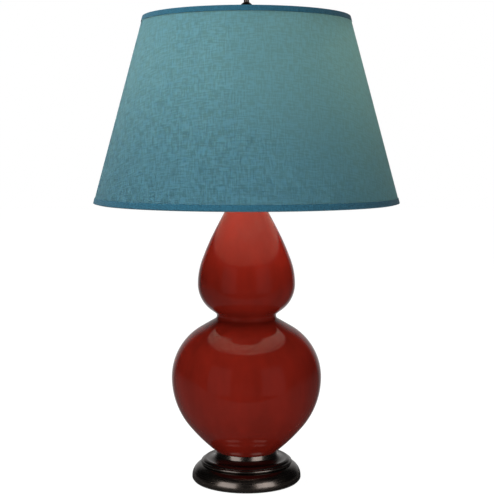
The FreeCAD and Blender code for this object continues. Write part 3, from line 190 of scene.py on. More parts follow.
class FinialSizes(bpy.types.PropertyGroup):
    """Half section of the turned finial"""

    base: length("Base", 8, "Radius of the base")
    base_height: length("Base height", 3, "Height of the base")
    neck: length("Neck", 6, "Radius of the neck")
    collar: length("Collar", 7.6, "Radius of the collar under the ball")
    collar_height: length("Collar height", 3, "Height of the collar")
    collar_sink: length("Collar sink", 0.8, "How far the ball sits in its collar")
    ball: length("Ball", 11.25, "Radius of the ball")
    ball_rise: length("Ball rise", 28, "From the finial's lower face to the middle of its ball")
    tip_foot: length("Tip foot", 4.4, "Radius where the tip grows out of the ball")
    tip: length("Tip", 4.8, "Radius of the domed tip")
    bow: length("Edge bow", 0.4, "How round the base, the collar and the tip's sides are")
    pilot: length("Pilot", 3.15, "Radius of the bore round the stud")
    side_gap: length("Side gap", 0.05, "Space round the threaded insert")
    end_gap: length("End gap", 0.1, "Space above the insert and above the stud")
    segments: facets(96, "Faces round the finial")


class BulbSizes(bpy.types.PropertyGroup):
    """Half section of the blown bulb"""

    globe: length("Globe", 34, "Radius of the globe")
    neck: length("Neck", 14.6, "Radius of the neck")
    blend: length("Blend", 60, "Radius of the hollow curve between neck and globe")
    plug: length("Plug", 13.05, "Radius of the neck inside the metal base")
    glass: length("Glass", 0.9, "Thickness of the glass")
    shoulder: length("Shoulder", 5.3, "Height of the plug in the base's collar")
    segments: facets(96, "Faces round the bulb")


class FinishColours(bpy.types.PropertyGroup):
    """Colours of the lamp's finishes"""

    glaze: colour("Glaze", "#7a1d13", "The oxblood glaze where it lies even")
    glaze_deep: colour("Deep glaze", "#5c160e", "The glaze where it ran thick")
    bronze: colour("Bronze", "#5c544f", "The dark patina of the foot and the finial")
    bronze_rubbed: colour("Rubbed bronze", "#7f7168", "The same metal where the patina is thin")
    linen: colour("Linen", "#5589a6", "The shade's teal cloth")
    # Painted shade: the cloth's colour where the weave sinks between its raised threads.
    linen_painted_shade: colour("Linen shadow", "#375f75", "The cloth between its raised threads")
    tape: colour("Tape", "#2f667c", "The folded tape at the shade's edges")
    glow: colour("Glow", "#c0ddd6", "Light that comes through the cloth")
    liner: colour("Liner", "#cdc8bd", "The stiff white film inside the shade")
    lamp: colour("Lamp light", "#fff1e2", "Light of the bulb")


class StudioSettings(bpy.types.PropertyGroup):
    """Camera and lights"""

    distance: length("Camera distance", 1800, "From the lamp's axis to the camera")
    height: length("Camera height", 540.2, "Height of the camera above the table")
    tilt: angle("Camera tilt", 5.185268, "How far down the camera looks")
    lens: FloatProperty(name="Lens", description="Focal length", default=82.4, unit="CAMERA")
    shift: FloatProperty(name="Shift", description="Of the picture, in picture widths", default=0.0011)
    aim: length("Aim", 420, "Height on the lamp that the lights face")
    box_azimuth: angle("Softbox azimuth", 41, "How far left and right of the front they stand")
    box_distance: length("Softbox distance", 2000, "From the lamp's axis to a softbox")
    softboxes: power("Softboxes", 1.05, "Of each that shows in the glaze")
    metal_boxes: power("Softboxes on metal", 19, "Of each that shows in the foot and the finial")
    front: power("Front light", 4.1, "Of the low light in front")
    side_left: power("Side light", 57, "Of the high light on the left")
    bulb: power("Bulb", 1.58, "Of the light in the bulb")
    bulb_glow: length("Bulb glow", 25, "Radius of the bulb's soft light")
    mouth: power("Shade mouth", 0.53, "Of the liner's light on the gourd")
    ambient: FloatProperty(name="Ambient", description="Level of the even light", default=0.24)


GROUPS = {
    "gourd_sizes": GourdSizes,
    "foot_sizes": FootSizes,
    "shade_sizes": ShadeSizes,
    "finial_sizes": FinialSizes,
    "bulb_sizes": BulbSizes,
    "finish_colours": FinishColours,
    "studio_settings": StudioSettings,
}


# ---- Drawing and turning ----


def alone(piece):
    """Leaves one object selected and active."""
    bpy.ops.object.select_all(action="DESELECT")
    piece.select_set(True)
    bpy.context.view_layer.objects.active = piece


def heading(turn):
    """The unit vector of the half section at an angle above the horizontal."""
    return Vector((math.cos(turn), math.sin(turn)))


class Pen:
    """Draws a half section from a single point in edit mode, then turns it about the axis."""

    def __init__(self, name, start):
        bpy.ops.object.select_all(action="DESELECT")
        bpy.ops.mesh.primitive_plane_add(size=MM)
        self.piece = bpy.context.object
        self.piece.name = self.piece.data.name = name
        bpy.ops.object.mode_set(mode="EDIT")
        bpy.ops.mesh.merge(type="CENTER")
        bpy.ops.transform.translate(value=(start[0], 0, start[1]))
        self.first = self.here = Vector(start)

    def line(self, *ends, steps=1):
        """Straight runs from end to end, each divided into equal steps."""
        for end in map(Vector, ends):
            run = end - self.here
            if run.length < WELD:
                continue
            step = {"value": (run.x / steps, 0, run.y / steps)}
            for _ in range(steps):
                bpy.ops.mesh.extrude_region_move(TRANSFORM_OT_translate=step)
            self.here = end

    def arc(self, centre, turn):
        """An arc about a centre, turning left where the angle is positive."""
        steps = max(3, math.ceil(abs(turn) / ARC_STEP))
        bpy.ops.mesh.spin(steps=steps, angle=turn, center=(centre.x, 0, centre.y), axis=(0, 1, 0))
        self.here = centre + Matrix.Rotation(turn, 2) @ (self.here - centre)

    def bow(self, end, rise):
        """An arc that stands out of its chord, to the right of travel or left if negative."""
        chord = Vector(end) - self.here
        right = Vector((chord.y, -chord.x)).normalized()
        radius = (chord.length_squared / 4 + rise**2) / (2 * rise)
        middle = (self.here + Vector(end)) / 2
        self.arc(middle + right * (rise - radius), 4 * math.atan(2 * rise / chord.length))

    def corner(self, end, side=1):
        """A quarter of a round, to the right of travel or left if side is -1."""
        chord = (Vector(end) - self.here).length
        self.bow(end, side * chord * (math.sqrt(2) - 1) / 2)

    def turned(self, segments):
        """Closes the section, turns it about the lamp's axis and welds its seam."""
        self.line(self.first)
        bpy.ops.mesh.select_all(action="SELECT")
        bpy.ops.mesh.spin(steps=segments, angle=math.tau, center=(0, 0, 0), axis=(0, 0, 1))
        bpy.ops.mesh.select_all(action="SELECT")
        bpy.ops.mesh.remove_doubles(threshold=WELD)
        bpy.ops.mesh.delete_loose()
        bpy.ops.mesh.select_all(action="SELECT")
        bpy.ops.mesh.normals_make_consistent(inside=False)
        bpy.ops.object.mode_set(mode="OBJECT")
        bpy.ops.object.shade_smooth_by_angle(angle=SHARP)
        return self.piece


def turned_section(name, corners, segments):
    """Turns a closed section of corners (radius, height[, rounding])."""
    count = len(corners)
    points = [Vector(corner[:2]) for corner in corners]
    starts, rounds = [], []
    for index, corner in enumerate(corners):
        here = points[index]
        back = (points[index - 1] - here).normalized()
        onward = (points[(index + 1) % count] - here).normalized()
        rounding = corner[2] if len(corner) > 2 else 0
        half = back.angle(onward) / 2
        start = here + back * (rounding / math.tan(half))
        end = here + onward * (rounding / math.tan(half))
        centre = here + (back + onward).normalized() * (rounding / math.sin(half)) if rounding else here
        turn = -(start - centre).angle_signed(end - centre) if rounding else 0
        starts.append(start)
        rounds.append((centre, turn, end))
    pen = Pen(name, rounds[0][2])
    for index in [*range(1, count), 0]:
        pen.line(starts[index])
        centre, turn, _ = rounds[index]
        if turn:
            pen.arc(centre, turn)
    return pen.turned(segments)


def drilled(piece, radius, start, end, height):
    """Cuts a round hole along +Y, from start to end, at a height."""
    bpy.ops.object.select_all(action="DESELECT")
    bpy.ops.mesh.primitive_cylinder_add(
        vertices=DRILL_SIDES,
        radius=radius,
        depth=end - start,
        location=(0, (start + end) / 2, height),
        rotation=(math.pi / 2, 0, 0),
    )
    drill = bpy.context.object
    cut = piece.modifiers.new("drilled", "BOOLEAN")
    cut.operation = "DIFFERENCE"
    cut.object = drill
    alone(piece)
    bpy.ops.object.modifier_apply(modifier=cut.name)
    bpy.data.objects.remove(drill)


def stands_for(piece, body, slot, *nodes):
    """Sets a piece in its nodes' place: same body, same slot, same box."""
    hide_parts(*nodes)
    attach(piece, body)
    piece.data.materials.clear()
    piece.data.materials.append(finish(slot))
    boxes = [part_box(node) for node in nodes]
    for axis in range(3):
        places = [vertex.co[axis] for vertex in piece.data.vertices]
        low = min(box[0][axis] for box in boxes)
        high = max(box[1][axis] for box in boxes)
        if max(abs(min(places) - low), abs(max(places) - high)) > BOX_TOLERANCE:
            raise RuntimeError("%s doesn't fill its nodes' box on axis %d" % (piece.name, axis))


# ---- Finishes ----


def add_node(tree, kind, sockets=None, **settings):
    """Adds a node with its settings; a socket gets a value, or a link from an output or a node."""
    made = tree.nodes.new("ShaderNode" + kind)
    for key, value in settings.items():
        setattr(made, key, value)
    for key, value in (sockets or {}).items():
        if isinstance(value, bpy.types.Node):
            value = value.outputs[0]
        if isinstance(value, bpy.types.NodeSocket):
            tree.links.new(value, made.inputs[key])
        else:
            made.inputs[key].default_value = value
    return made


def new_finish(name, surface, *values):
    """A material; surface is what adds its nodes, from these values, and returns the last one."""
    material = bpy.data.materials.new(name)
    material.use_nodes = True
    material.node_tree.nodes.clear()
    add = partial(add_node, material.node_tree)
    add("OutputMaterial", {0: surface(add, *values)})
    return material


def rgba(shade):
    return (*(linear(shade) if isinstance(shade, str) else shade), 1)


def every_mm(size):
    """Texture scale at which a pattern repeats about every size millimetres."""
    return 1 / (size * MM)


def oxblood_glaze(add):
    # Stoneware under a copper-red glaze, dipped and fired: deep wet red that ran a little
    # darker where it lies thick, a mirror gloss with the faint ripple of a fired surface.
    colours = bpy.context.scene.finish_colours
    place = add("TexCoord").outputs["Object"]
    runs = add("Mapping", {"Vector": place, "Scale": (1, 1, 0.3)})
    pool = add("TexNoise", {"Vector": runs, "Scale": every_mm(38), "Detail": 4, "Roughness": 0.55})
    thick = add("MapRange", {"Value": pool, "From Min": 0.38, "From Max": 0.66, "To Max": 0.5})
    fleck = add("TexNoise", {"Vector": place, "Scale": every_mm(3.2), "Detail": 2, "Roughness": 0.6})
    dotted = add("MapRange", {"Value": fleck, "From Min": 0.6, "From Max": 0.74, "To Max": 0.3})
    depth = add("Math", {0: thick, 1: dotted}, operation="MAXIMUM")
    body = add("Mix", {0: depth, 6: rgba(colours.glaze), 7: rgba(colours.glaze_deep)}, data_type="RGBA")
    ripple = add("TexNoise", {"Vector": place, "Scale": every_mm(14), "Detail": 1.5, "Roughness": 0.4})
    gloss = add("MapRange", {"Value": ripple, **NOISE_SPAN, "To Min": 0.025, "To Max": 0.05})
    bump = add("Bump", {"Height": ripple, "Strength": 0.5, "Distance": 0.05 * MM})
    return add("BsdfPrincipled", {
        "Base Color": body.outputs[2],
        "Roughness": gloss,
        "IOR": 1.5,
        "Specular IOR Level": 0.36,
        "Normal": bump,
    })


def dark_bronze(add):
    # Cast bronze, turned and chemically patinated, then waxed: near-black brown, rubbed
    # lighter in places, with fine turning marks round the axis and a satin gloss.
    colours = bpy.context.scene.finish_colours
    place = add("TexCoord").outputs["Object"]
    cloud = add("TexNoise", {"Vector": place, "Scale": every_mm(22), "Detail": 5, "Roughness": 0.6})
    rubbed = add("MapRange", {"Value": cloud, "From Min": 0.42, "From Max": 0.72, "To Max": 0.4})
    body = add(
        "Mix",
        {0: rubbed, 6: rgba(colours.bronze), 7: rgba(colours.bronze_rubbed)},
        data_type="RGBA",
    )
    # Turning marks of about 0.9 mm feed, drawn that coarse so that they show
    high = add("Mapping", {"Vector": place, "Scale": (0.02, 0.02, 1)})
    marks = add("TexNoise", {"Vector": high, "Scale": every_mm(0.9), "Detail": 2})
    gloss = add("MapRange", {"Value": marks, **NOISE_SPAN, "To Min": 0.2, "To Max": 0.3})
    bump = add("Bump", {"Height": marks, "Strength": 0.35, "Distance": 0.05 * MM})
    return add("BsdfPrincipled", {
        "Base Color": body.outputs[2],
        "Metallic": 1,
        "Roughness": gloss,
        "Coat Weight": 0.35,
        "Coat Roughness": 0.12,
        "Normal": bump,
    })


def woven_cloth(add, raised, sunk_painted_shade, pitch, translucent):
    """Plain-woven cloth that follows the piece's own flat map, with slubs both ways and painted shade where
    the weave sinks.
    """
    flat = add("UVMap", uv_map="cloth")
    heights = []
    for stretch in ((1, SLUB, 1), (SLUB, 1, 1)):
        threads = add("Mapping", {"Vector": flat, "Scale": stretch})
        height = add(
            "TexNoise",
            {"Vector": threads, "Scale": every_mm(pitch), "Detail": 1.5, "Roughness": 0.6},
        )
        heights.append(height)
    weave = add("Math", {0: heights[0], 1: heights[1]}, operation="ADD")
    slack = add("MapRange", {"Value": weave, "From Min": 0.86, "From Max": 1.14})
    # Painted shade: the colour darkens where the weave lies low between the threads, following the bump's
    # height.
    threads_and_painted_shade = add("Mix", {0: slack, 6: rgba(sunk_painted_shade), 7: rgba(raised)}, data_type="RGBA")
    bump = add("Bump", {"Height": slack, "Strength": 0.55, "Distance": 0.35 * MM})
    surface = add("BsdfPrincipled", {
        "Base Color": threads_and_painted_shade.outputs[2],
        "Roughness": 0.85,
        "Specular IOR Level": 0.3,
        "Sheen Weight": 0.2,
        "Sheen Roughness": 0.45,
        "Sheen Tint": rgba("#cfdde0"),
        "Normal": bump,
    })
    if not translucent:
        return surface
    glow = rgba(bpy.context.scene.finish_colours.glow)
    through = add("BsdfTranslucent", {"Color": glow})
    return add("MixShader", {0: translucent, 1: surface, 2: through})


def teal_linen(add):
    # Slubbed linen laminated on film: dry matt teal with irregular threads both ways and painted shade
    # between them.
    # Real threads lie 0.5 mm apart, drawn 2.2 mm apart so that they show.
    colours = bpy.context.scene.finish_colours
    return woven_cloth(add, colours.linen, colours.linen_painted_shade, 2.2, 0.5)


def teal_tape(add):
    # Cotton bias tape, folded and glued: the same teal dyed darker, tight and flat.
    colours = bpy.context.scene.finish_colours
    # The tape's colour on its threads, and a darker share of it as painted shade between them.
    return woven_cloth(add, colours.tape, tuple(TAPE_PAINTED_SHADE * c for c in colours.tape), 1.1, 0)


def styrene_liner(add):
    # Extruded polystyrene film: even warm white, soft satin, faint rolling marks. It is
    # drawn greyer than it is, so that the lit bulb shows against it.
    return moulded(add, bpy.context.scene.finish_colours.liner, 0.45, 30, 0.05, 0.04)


def moulded(add, shade, roughness, grain, depth, variation, metallic=0, clear=0):
    """A surface with grain of a size and depth in mm and that much variation in colour."""
    place = add("TexCoord").outputs["Object"]
    noise = add("TexNoise", {"Vector": place, "Scale": every_mm(grain), "Detail": 5, "Roughness": 0.6})
    base = rgba(shade)
    lighter = tuple(min(1, c * (1 + variation) + variation * BLACK_LIFT) for c in base[:3])
    darker = tuple(c * (1 - variation) for c in base[:3])
    body = add("Mix", {0: noise, 6: rgba(darker), 7: rgba(lighter)}, data_type="RGBA")
    least, most = roughness * GLOSSIEST, min(1, roughness * ROUGHEST)
    rough = add("MapRange", {"Value": noise, **NOISE_SPAN, "To Min": least, "To Max": most})
    bump = add("Bump", {"Height": noise, "Strength": 0.5, "Distance": depth * MM})
    return add("BsdfPrincipled", {
        "Base Color": body.outputs[2],
        "Roughness": rough,
        "Metallic": metallic,
        "Coat Weight": clear,
        "Normal": bump,
    })


def opal_glass(add):
    # Blown glass, silica-coated inside: an even milky white that hides the source and
    # glows all over, under the hard gloss of bare glass.
    colours = bpy.context.scene.finish_colours
    place = add("TexCoord").outputs["Object"]
    coat = add("TexNoise", {"Vector": place, "Scale": every_mm(9), "Detail": 2})
    body = add("Mix", {0: coat, 6: rgba("#f1ede4"), 7: rgba("#fbf9f4")}, data_type="RGBA")
    return add("BsdfPrincipled", {
        "Base Color": body.outputs[2],
        "Roughness": 0.08,
        "IOR": 1.5,
        "Emission Color": rgba(colours.lamp),
        "Emission Strength": 1.6,
    })


def wool_felt(add):
    # Pressed wool felt: dead matt black-brown nap with fibres lying every way.
    place = add("TexCoord").outputs["Object"]
    fibres = add(
        "TexNoise",
        {"Vector": place, "Scale": every_mm(1.4), "Detail": 6, "Roughness": 0.75, "Distortion": 1.5},
    )
    body = add("Mix", {0: fibres, 6: rgba("#17130f"), 7: rgba("#3a332c")}, data_type="RGBA")
    bump = add("Bump", {"Height": fibres, "Strength": 0.8, "Distance": 0.3 * MM})
    return add("BsdfPrincipled", {
        "Base Color": body.outputs[2],
        "Roughness": 1,
        "Sheen Weight": 0.5,
        "Sheen Roughness": 0.6,
        "Normal": bump,
    })


# Each slot's material, what makes its surface, and that function's values in their order
FINISHES = {
    "red_glaze": ("oxblood_glaze", oxblood_glaze),
    "patina_bronze": ("dark_bronze", dark_bronze),
    "teal_linen": ("slub_linen", teal_linen),
    "teal_trim": ("cotton_tape", teal_tape),
    "white_liner": ("styrene_film", styrene_liner),
    "frosted_glass": ("opal_glass", opal_glass),
    "felt": ("wool_felt", wool_felt),
    # Sand-cast grey iron: dull dark grey with the sand's grain
    "cast_iron": ("cast_iron", moulded, "#4b4a49", 0.62, 1.6, 0.12, 0.25, 1),
    # Zinc-plated steel: cool bright grey, faintly clouded
    "zinc_steel": ("zinc_plate", moulded, "#a9abad", 0.3, 5, 0.01, 0.08, 1),
    # Drawn brass, lacquered: warm yellow metal under a clear coat
    "brass": ("lacquered_brass", moulded, "#c39a52", 0.22, 7, 0.01, 0.1, 1, 0.5),
    # Moulded rubber: matt black, finely pitted
    "rubber": ("moulded_rubber", moulded, "#191919", 0.75, 0.8, 0.04, 0.2),
    # Moulded ABS: black, satin, with the mould's fine texture
    "black_plastic": ("moulded_abs", moulded, "#121213", 0.38, 0.7, 0.02, 0.15),
    # Phenolic resin: brown-black, glossy, slightly mottled by its filler
    "phenolic": ("phenolic_resin", moulded, "#2a1a13", 0.28, 3, 0.01, 0.3),
    # Vulcanised paper board: grey-brown, matt, fibrous
    "pressboard": ("paper_board", moulded, "#8a6f52", 0.8, 1.2, 0.05, 0.18),
    # Rolled aluminium: pale, satin, slightly streaked
    "aluminium": ("rolled_aluminium", moulded, "#c4c5c6", 0.28, 4, 0.01, 0.06, 1),
    # Vitrite: black glass, fire-polished
    "black_glass": ("vitrite_glass", moulded, "#0b0b10", 0.1, 2.5, 0.02, 0.3),
    # Powder-coated wire: warm white with the coat's orange peel
    "white_wire": ("powder_coat", moulded, "#e6e3dc", 0.42, 1.1, 0.03, 0.04),
}


def finish(slot):
    """The finish of a material slot, made once."""
    slot = slot.split(".")[0]
    if slot not in finish.made:
        finish.made[slot] = new_finish(*FINISHES[slot])
    return finish.made[slot]


finish.made = {}


# ---- Gourd ----


class SkinArc:
    """An arc of the skin between two angles of its outward normal; hollow if negative."""

    def __init__(self, centre, radius, start, end):
        self.centre = centre
        self.radius = radius
        self.start = start
        self.end = end

    def point(self, turn, depth=0.0):
        return self.centre + heading(turn) * (self.radius - depth)

    def turn_at(self, height, depth=0.0):
        return math.asin((height - self.centre.y) / (self.radius - depth))


def centre_rise(radius_sum, straight, offset):
    """Height between two arc centres that a straight of this length joins tangentially."""
    return math.sqrt(radius_sum**2 + straight**2 - offset**2)


def gourd_skin(s, foot_height):
    """The skin's arcs from the foot to the top of the neck; straight runs join them."""
    belly = Vector((s.belly - s.belly_arc, s.belly_height))
    under = SkinArc(belly, s.belly_arc, s.foot_angle, 0)
    foot_centre = belly - heading(s.foot_angle) * (s.foot_arc - s.belly_arc)
    foot = SkinArc(foot_centre, s.foot_arc, 0, s.foot_angle)
    foot.start = foot.turn_at(foot_height)

    shoulder_centre = Vector((s.belly - s.shoulder_arc, s.belly_height))
    waist_offset = s.waist + s.waist_fillet - shoulder_centre.x
    shoulder_sum = s.shoulder_arc + s.waist_fillet
    waist_rise = centre_rise(shoulder_sum, s.shoulder_straight, waist_offset)
    flare = math.atan2(waist_rise, waist_offset) - math.atan2(s.shoulder_straight, shoulder_sum)
    shoulder = SkinArc(shoulder_centre, s.shoulder_arc, 0, flare)

    waist_centre = shoulder_centre + Vector((waist_offset, waist_rise))
    bulge_offset = s.bulge - s.bulge_arc - waist_centre.x
    bulge_sum = s.bulge_arc + s.waist_fillet
    bulge_rise = centre_rise(bulge_sum, s.waist_straight, bulge_offset)
    undercut = math.atan2(bulge_rise, bulge_offset) - math.atan2(bulge_sum, s.waist_straight)
    undercut -= math.pi / 2
    waist = SkinArc(waist_centre, -s.waist_fillet, flare, undercut)

    bulge_centre = waist_centre + Vector((bulge_offset, bulge_rise))
    bulge = SkinArc(bulge_centre, s.bulge_arc, undercut, 0)
    crown_centre = bulge_centre + Vector((s.bulge_arc - s.crown_arc, 0))
    crown = SkinArc(crown_centre, s.crown_arc, 0, s.crown_angle)
    taper_centre = crown_centre - heading(s.crown_angle) * (s.taper_arc - s.crown_arc)
    taper = SkinArc(taper_centre, s.taper_arc, s.crown_angle, s.taper_angle)

    cone_start = taper.point(s.taper_angle)
    cone_end_radius = s.neck + s.neck_arc - s.neck_arc * math.cos(s.taper_angle)
    cone_rise = (cone_start.x - cone_end_radius) / math.tan(s.taper_angle)
    cone_end = Vector((cone_end_radius, cone_start.y + cone_rise))
    neck = SkinArc(cone_end + heading(s.taper_angle) * s.neck_arc, -s.neck_arc, s.taper_angle, 0)
    return [foot, under, shoulder, waist, bulge, crown, taper, neck]


class LAMP_OT_gourd(bpy.types.Operator):
    """Throws the double gourd: tangent arcs in half section, turned with an even wall"""

    bl_idname = "lamp.gourd"
    bl_label = "Gourd"

    def execute(self, context):
        s = context.scene.gourd_sizes
        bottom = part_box("gourd_lower")[0][2]
        skin = gourd_skin(s, bottom)
        pen = Pen("gourd", (s.hole, bottom))
        for arc in skin:
            pen.line(arc.point(arc.start), steps=OUTER_STEPS)
            pen.arc(arc.centre, arc.end - arc.start)
        floor = bottom + s.floor
        skin[0].start = skin[0].turn_at(floor, s.wall)
        for arc in reversed(skin):
            pen.line(arc.point(arc.end, s.wall), steps=INNER_STEPS)
            pen.arc(arc.centre, arc.start - arc.end)
        pen.line((s.hole, floor))
        stands_for(pen.turned(s.segments), "stand", "red_glaze", "gourd_lower", "gourd_upper")
        return {"FINISHED"}


# ---- Foot and felt ----


class LAMP_OT_foot(bpy.types.Operator):
    """Turns the bronze foot: rim, dome, groove, ring, roll, cove and neck, hollow below"""

    bl_idname = "lamp.foot"
    bl_label = "Foot"

    def execute(self, context):
        s = context.scene.foot_sizes
        bottom, top = (corner[2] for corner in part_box("base_shell"))
        spring = bottom + s.rim
        dome_centre = Vector((s.radius - s.dome, spring))
        groove = s.radius - s.bead_inset - s.bead
        groove_reach = groove + s.groove - dome_centre.x
        groove_height = spring + math.sqrt(s.dome**2 - groove_reach**2)
        bead_top = groove_height + 2 * s.bead
        cavity_top = groove_height - s.wall
        cavity_bend = s.dome - s.wall
        inner_rim = s.radius - s.wall
        inner_neck = s.neck - s.neck_taper - s.wall

        pen = Pen("foot", (inner_rim, bottom))
        pen.line((s.radius - s.edge, bottom))
        pen.corner((s.radius, bottom + s.edge))
        pen.line((s.radius, spring))
        pen.arc(dome_centre, math.asin((groove_height - spring) / s.dome))
        pen.line((groove, groove_height))
        pen.bow((groove, bead_top), s.bead)
        pen.bow((groove - s.roll_inset, bead_top + s.roll_height), s.roll_bow)
        pen.bow((s.neck, top - s.neck_height), -s.cove_bow)
        pen.line((s.neck - s.neck_taper, top), (s.pipe_hole, top), (s.pipe_hole, top - s.deck))
        pen.line((inner_neck, top - s.deck), (inner_neck, cavity_top))
        pen.line((inner_rim - cavity_bend, cavity_top))
        pen.corner((inner_rim, cavity_top - cavity_bend), side=-1)
        foot = pen.turned(s.segments)
        inlet_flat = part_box("cord_bush")[1][1] - s.inlet_seat
        for radius, start in ((s.inlet_face, inlet_flat), (s.inlet_hole, s.radius - s.dome)):
            drilled(foot, radius, start, s.radius + DRILL_PAST, s.inlet_height)
        alone(foot)
        bpy.ops.object.shade_smooth_by_angle(angle=SHARP)
        stands_for(foot, "stand", "patina_bronze", "base_shell")
        return {"FINISHED"}


class LAMP_OT_felt(bpy.types.Operator):
    """Cuts the felt under the foot, with its edges pressed round"""

    bl_idname = "lamp.felt"
    bl_label = "Felt"

    def execute(self, context):
        s = context.scene.foot_sizes
        low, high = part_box("felt_pad")
        lower, upper = (high[0], low[2], s.felt_edge), (high[0], high[2], s.felt_edge)
        felt = turned_section("felt", [(0, low[2]), lower, upper, (0, high[2])], s.segments)
        stands_for(felt, "stand", "felt", "felt_pad")
        return {"FINISHED"}


# ---- Shade ----


class ShadeWall:
    """Places on the shade's half section: along its slant from the lower edge, and under it."""

    def __init__(self, s):
        self.slant = math.atan2(s.bottom - s.top, s.height)
        self.length = math.hypot(s.bottom - s.top, s.height)
        self.along = heading(math.pi / 2 + self.slant)
        self.outward = heading(self.slant)
        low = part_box("shade_fabric")[0][2] + s.cloth * self.outward.y
        self.start = Vector((s.bottom, low))

    def at(self, along, depth):
        return self.start + self.along * along - self.outward * depth

    def turned(self, name, corners, segments):
        """Turns corners (along, depth[, rounding]) of the wall."""
        places = [(*self.at(*corner[:2]), *corner[2:]) for corner in corners]
        return turned_section(name, places, segments)

    def lay_cloth(self, piece):
        """Gives a piece the cloth's flat coordinates in metres, with the seam at the back."""
        layer = piece.data.uv_layers.new(name="cloth")
        for face in piece.data.polygons:
            side = math.copysign(1, face.center.x)
            for corner in face.loop_indices:
                place = piece.data.vertices[piece.data.loops[corner].vertex_index].co
                turn = math.atan2(place.x, -place.y)
                if abs(turn) > math.pi / 2 and turn * side < 0:
                    turn += side * math.tau
                turn *= math.sin(self.slant)
                reach = math.hypot(place.x, place.y) / math.sin(self.slant)
                layer.data[corner].uv = (reach * math.sin(turn), reach * math.cos(turn))


class LAMP_OT_shade(bpy.types.Operator):
    """Makes the shade: cloth lapped at the back, liner, and tape folded over both edges"""

    bl_idname = "lamp.shade"
    bl_label = "Shade"

    def execute(self, context):
        s = context.scene.shade_sizes
        wall = ShadeWall(s)
        shell = s.cloth + s.liner
        film = s.cloth + s.gap
        corners = [(0, 0), (wall.length, 0), (wall.length, s.cloth), (0, s.cloth)]
        cloth = wall.turned("shade_cloth", corners, s.segments)
        self.lap_seam(cloth, wall, s)
        wall.lay_cloth(cloth)
        stands_for(cloth, "shade", "teal_linen", "shade_fabric")

        corners = [(0, film), (wall.length, film), (wall.length, shell), (0, shell)]
        liner = wall.turned("shade_liner_film", corners, s.segments)
        stands_for(liner, "shade", "white_liner", "shade_liner")
        liner.visible_shadow = False

        inner = shell + 2 * (s.wire + s.gap)
        for name, node, edge, inward in (
            ("tape_low", "bottom_trim", 0, 1),
            ("tape_high", "top_trim", wall.length, -1),
        ):
            fold = edge - inward * s.gap
            outside = fold - inward * s.tape
            outer_end = edge + inward * s.tape_outside
            inner_end = edge + inward * s.tape_inside
            tape = wall.turned(
                name,
                [
                    (outer_end, -s.gap),
                    (fold, -s.gap),
                    (fold, inner),
                    (inner_end, inner),
                    (inner_end, inner + s.tape),
                    (outside, inner + s.tape, s.tape),
                    (outside, -s.gap - s.tape, s.tape),
                    (outer_end, -s.gap - s.tape, s.tape / 3),
                ],
                s.segments,
            )
            wall.lay_cloth(tape)
            stands_for(tape, "shade", "teal_trim", node)

        return {"FINISHED"}

    def lap_seam(self, cloth, wall, s):
        """Raises the strip at the back where the cloth's end laps over its start."""
        alone(cloth)
        bpy.ops.object.mode_set(mode="EDIT")
        bpy.ops.mesh.select_mode(type="FACE")
        bpy.ops.mesh.select_all(action="DESELECT")
        bpy.ops.object.mode_set(mode="OBJECT")
        width = s.lap_facets * math.tau / s.segments
        for face in cloth.data.polygons:
            turn = math.atan2(face.center.x, face.center.y)
            face.select = face.normal.y > wall.outward.x / 2 and 0 < turn < width
        bpy.ops.object.mode_set(mode="EDIT")
        bpy.ops.mesh.extrude_region_shrink_fatten(
            MESH_OT_extrude_region={}, TRANSFORM_OT_shrink_fatten={"value": s.lap}
        )
        bpy.ops.mesh.select_mode(type="VERT")
        bpy.ops.object.mode_set(mode="OBJECT")
        bpy.ops.object.shade_smooth_by_angle(angle=SHARP)


# ---- Bulb and finial ----


class LAMP_OT_bulb(bpy.types.Operator):
    """Blows the bulb: a plug in its metal base, a neck, a hollow curve and the globe"""

    bl_idname = "lamp.bulb"
    bl_label = "Bulb"

    def execute(self, context):
        s = context.scene.bulb_sizes
        low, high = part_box("bulb_glass")
        centre = Vector((0, high[2] - s.globe))
        drop = centre_rise(s.globe + s.blend, 0, s.neck + s.blend)
        blend_centre = Vector((s.neck + s.blend, centre.y - drop))
        touch = math.atan2(drop, blend_centre.x)
        shoulder = low[2] + s.shoulder
        pen = Pen("bulb_globe", (s.plug, low[2]))
        pen.line((s.plug, shoulder), (s.neck, shoulder), (s.neck, blend_centre.y))
        pen.arc(blend_centre, -touch)
        pen.arc(centre, math.pi / 2 + touch)
        pen.line((0, high[2] - s.glass))
        pen.arc(centre, -math.pi / 2 - touch)
        pen.arc(blend_centre, touch)
        pen.line((s.neck - s.glass, shoulder + s.glass), (s.plug - s.glass, shoulder + s.glass))
        pen.line((s.plug - s.glass, low[2]))
        glass = pen.turned(s.segments)
        stands_for(glass, "bulb_glass", "frosted_glass", "bulb_glass")
        glass.visible_shadow = False
        return {"FINISHED"}


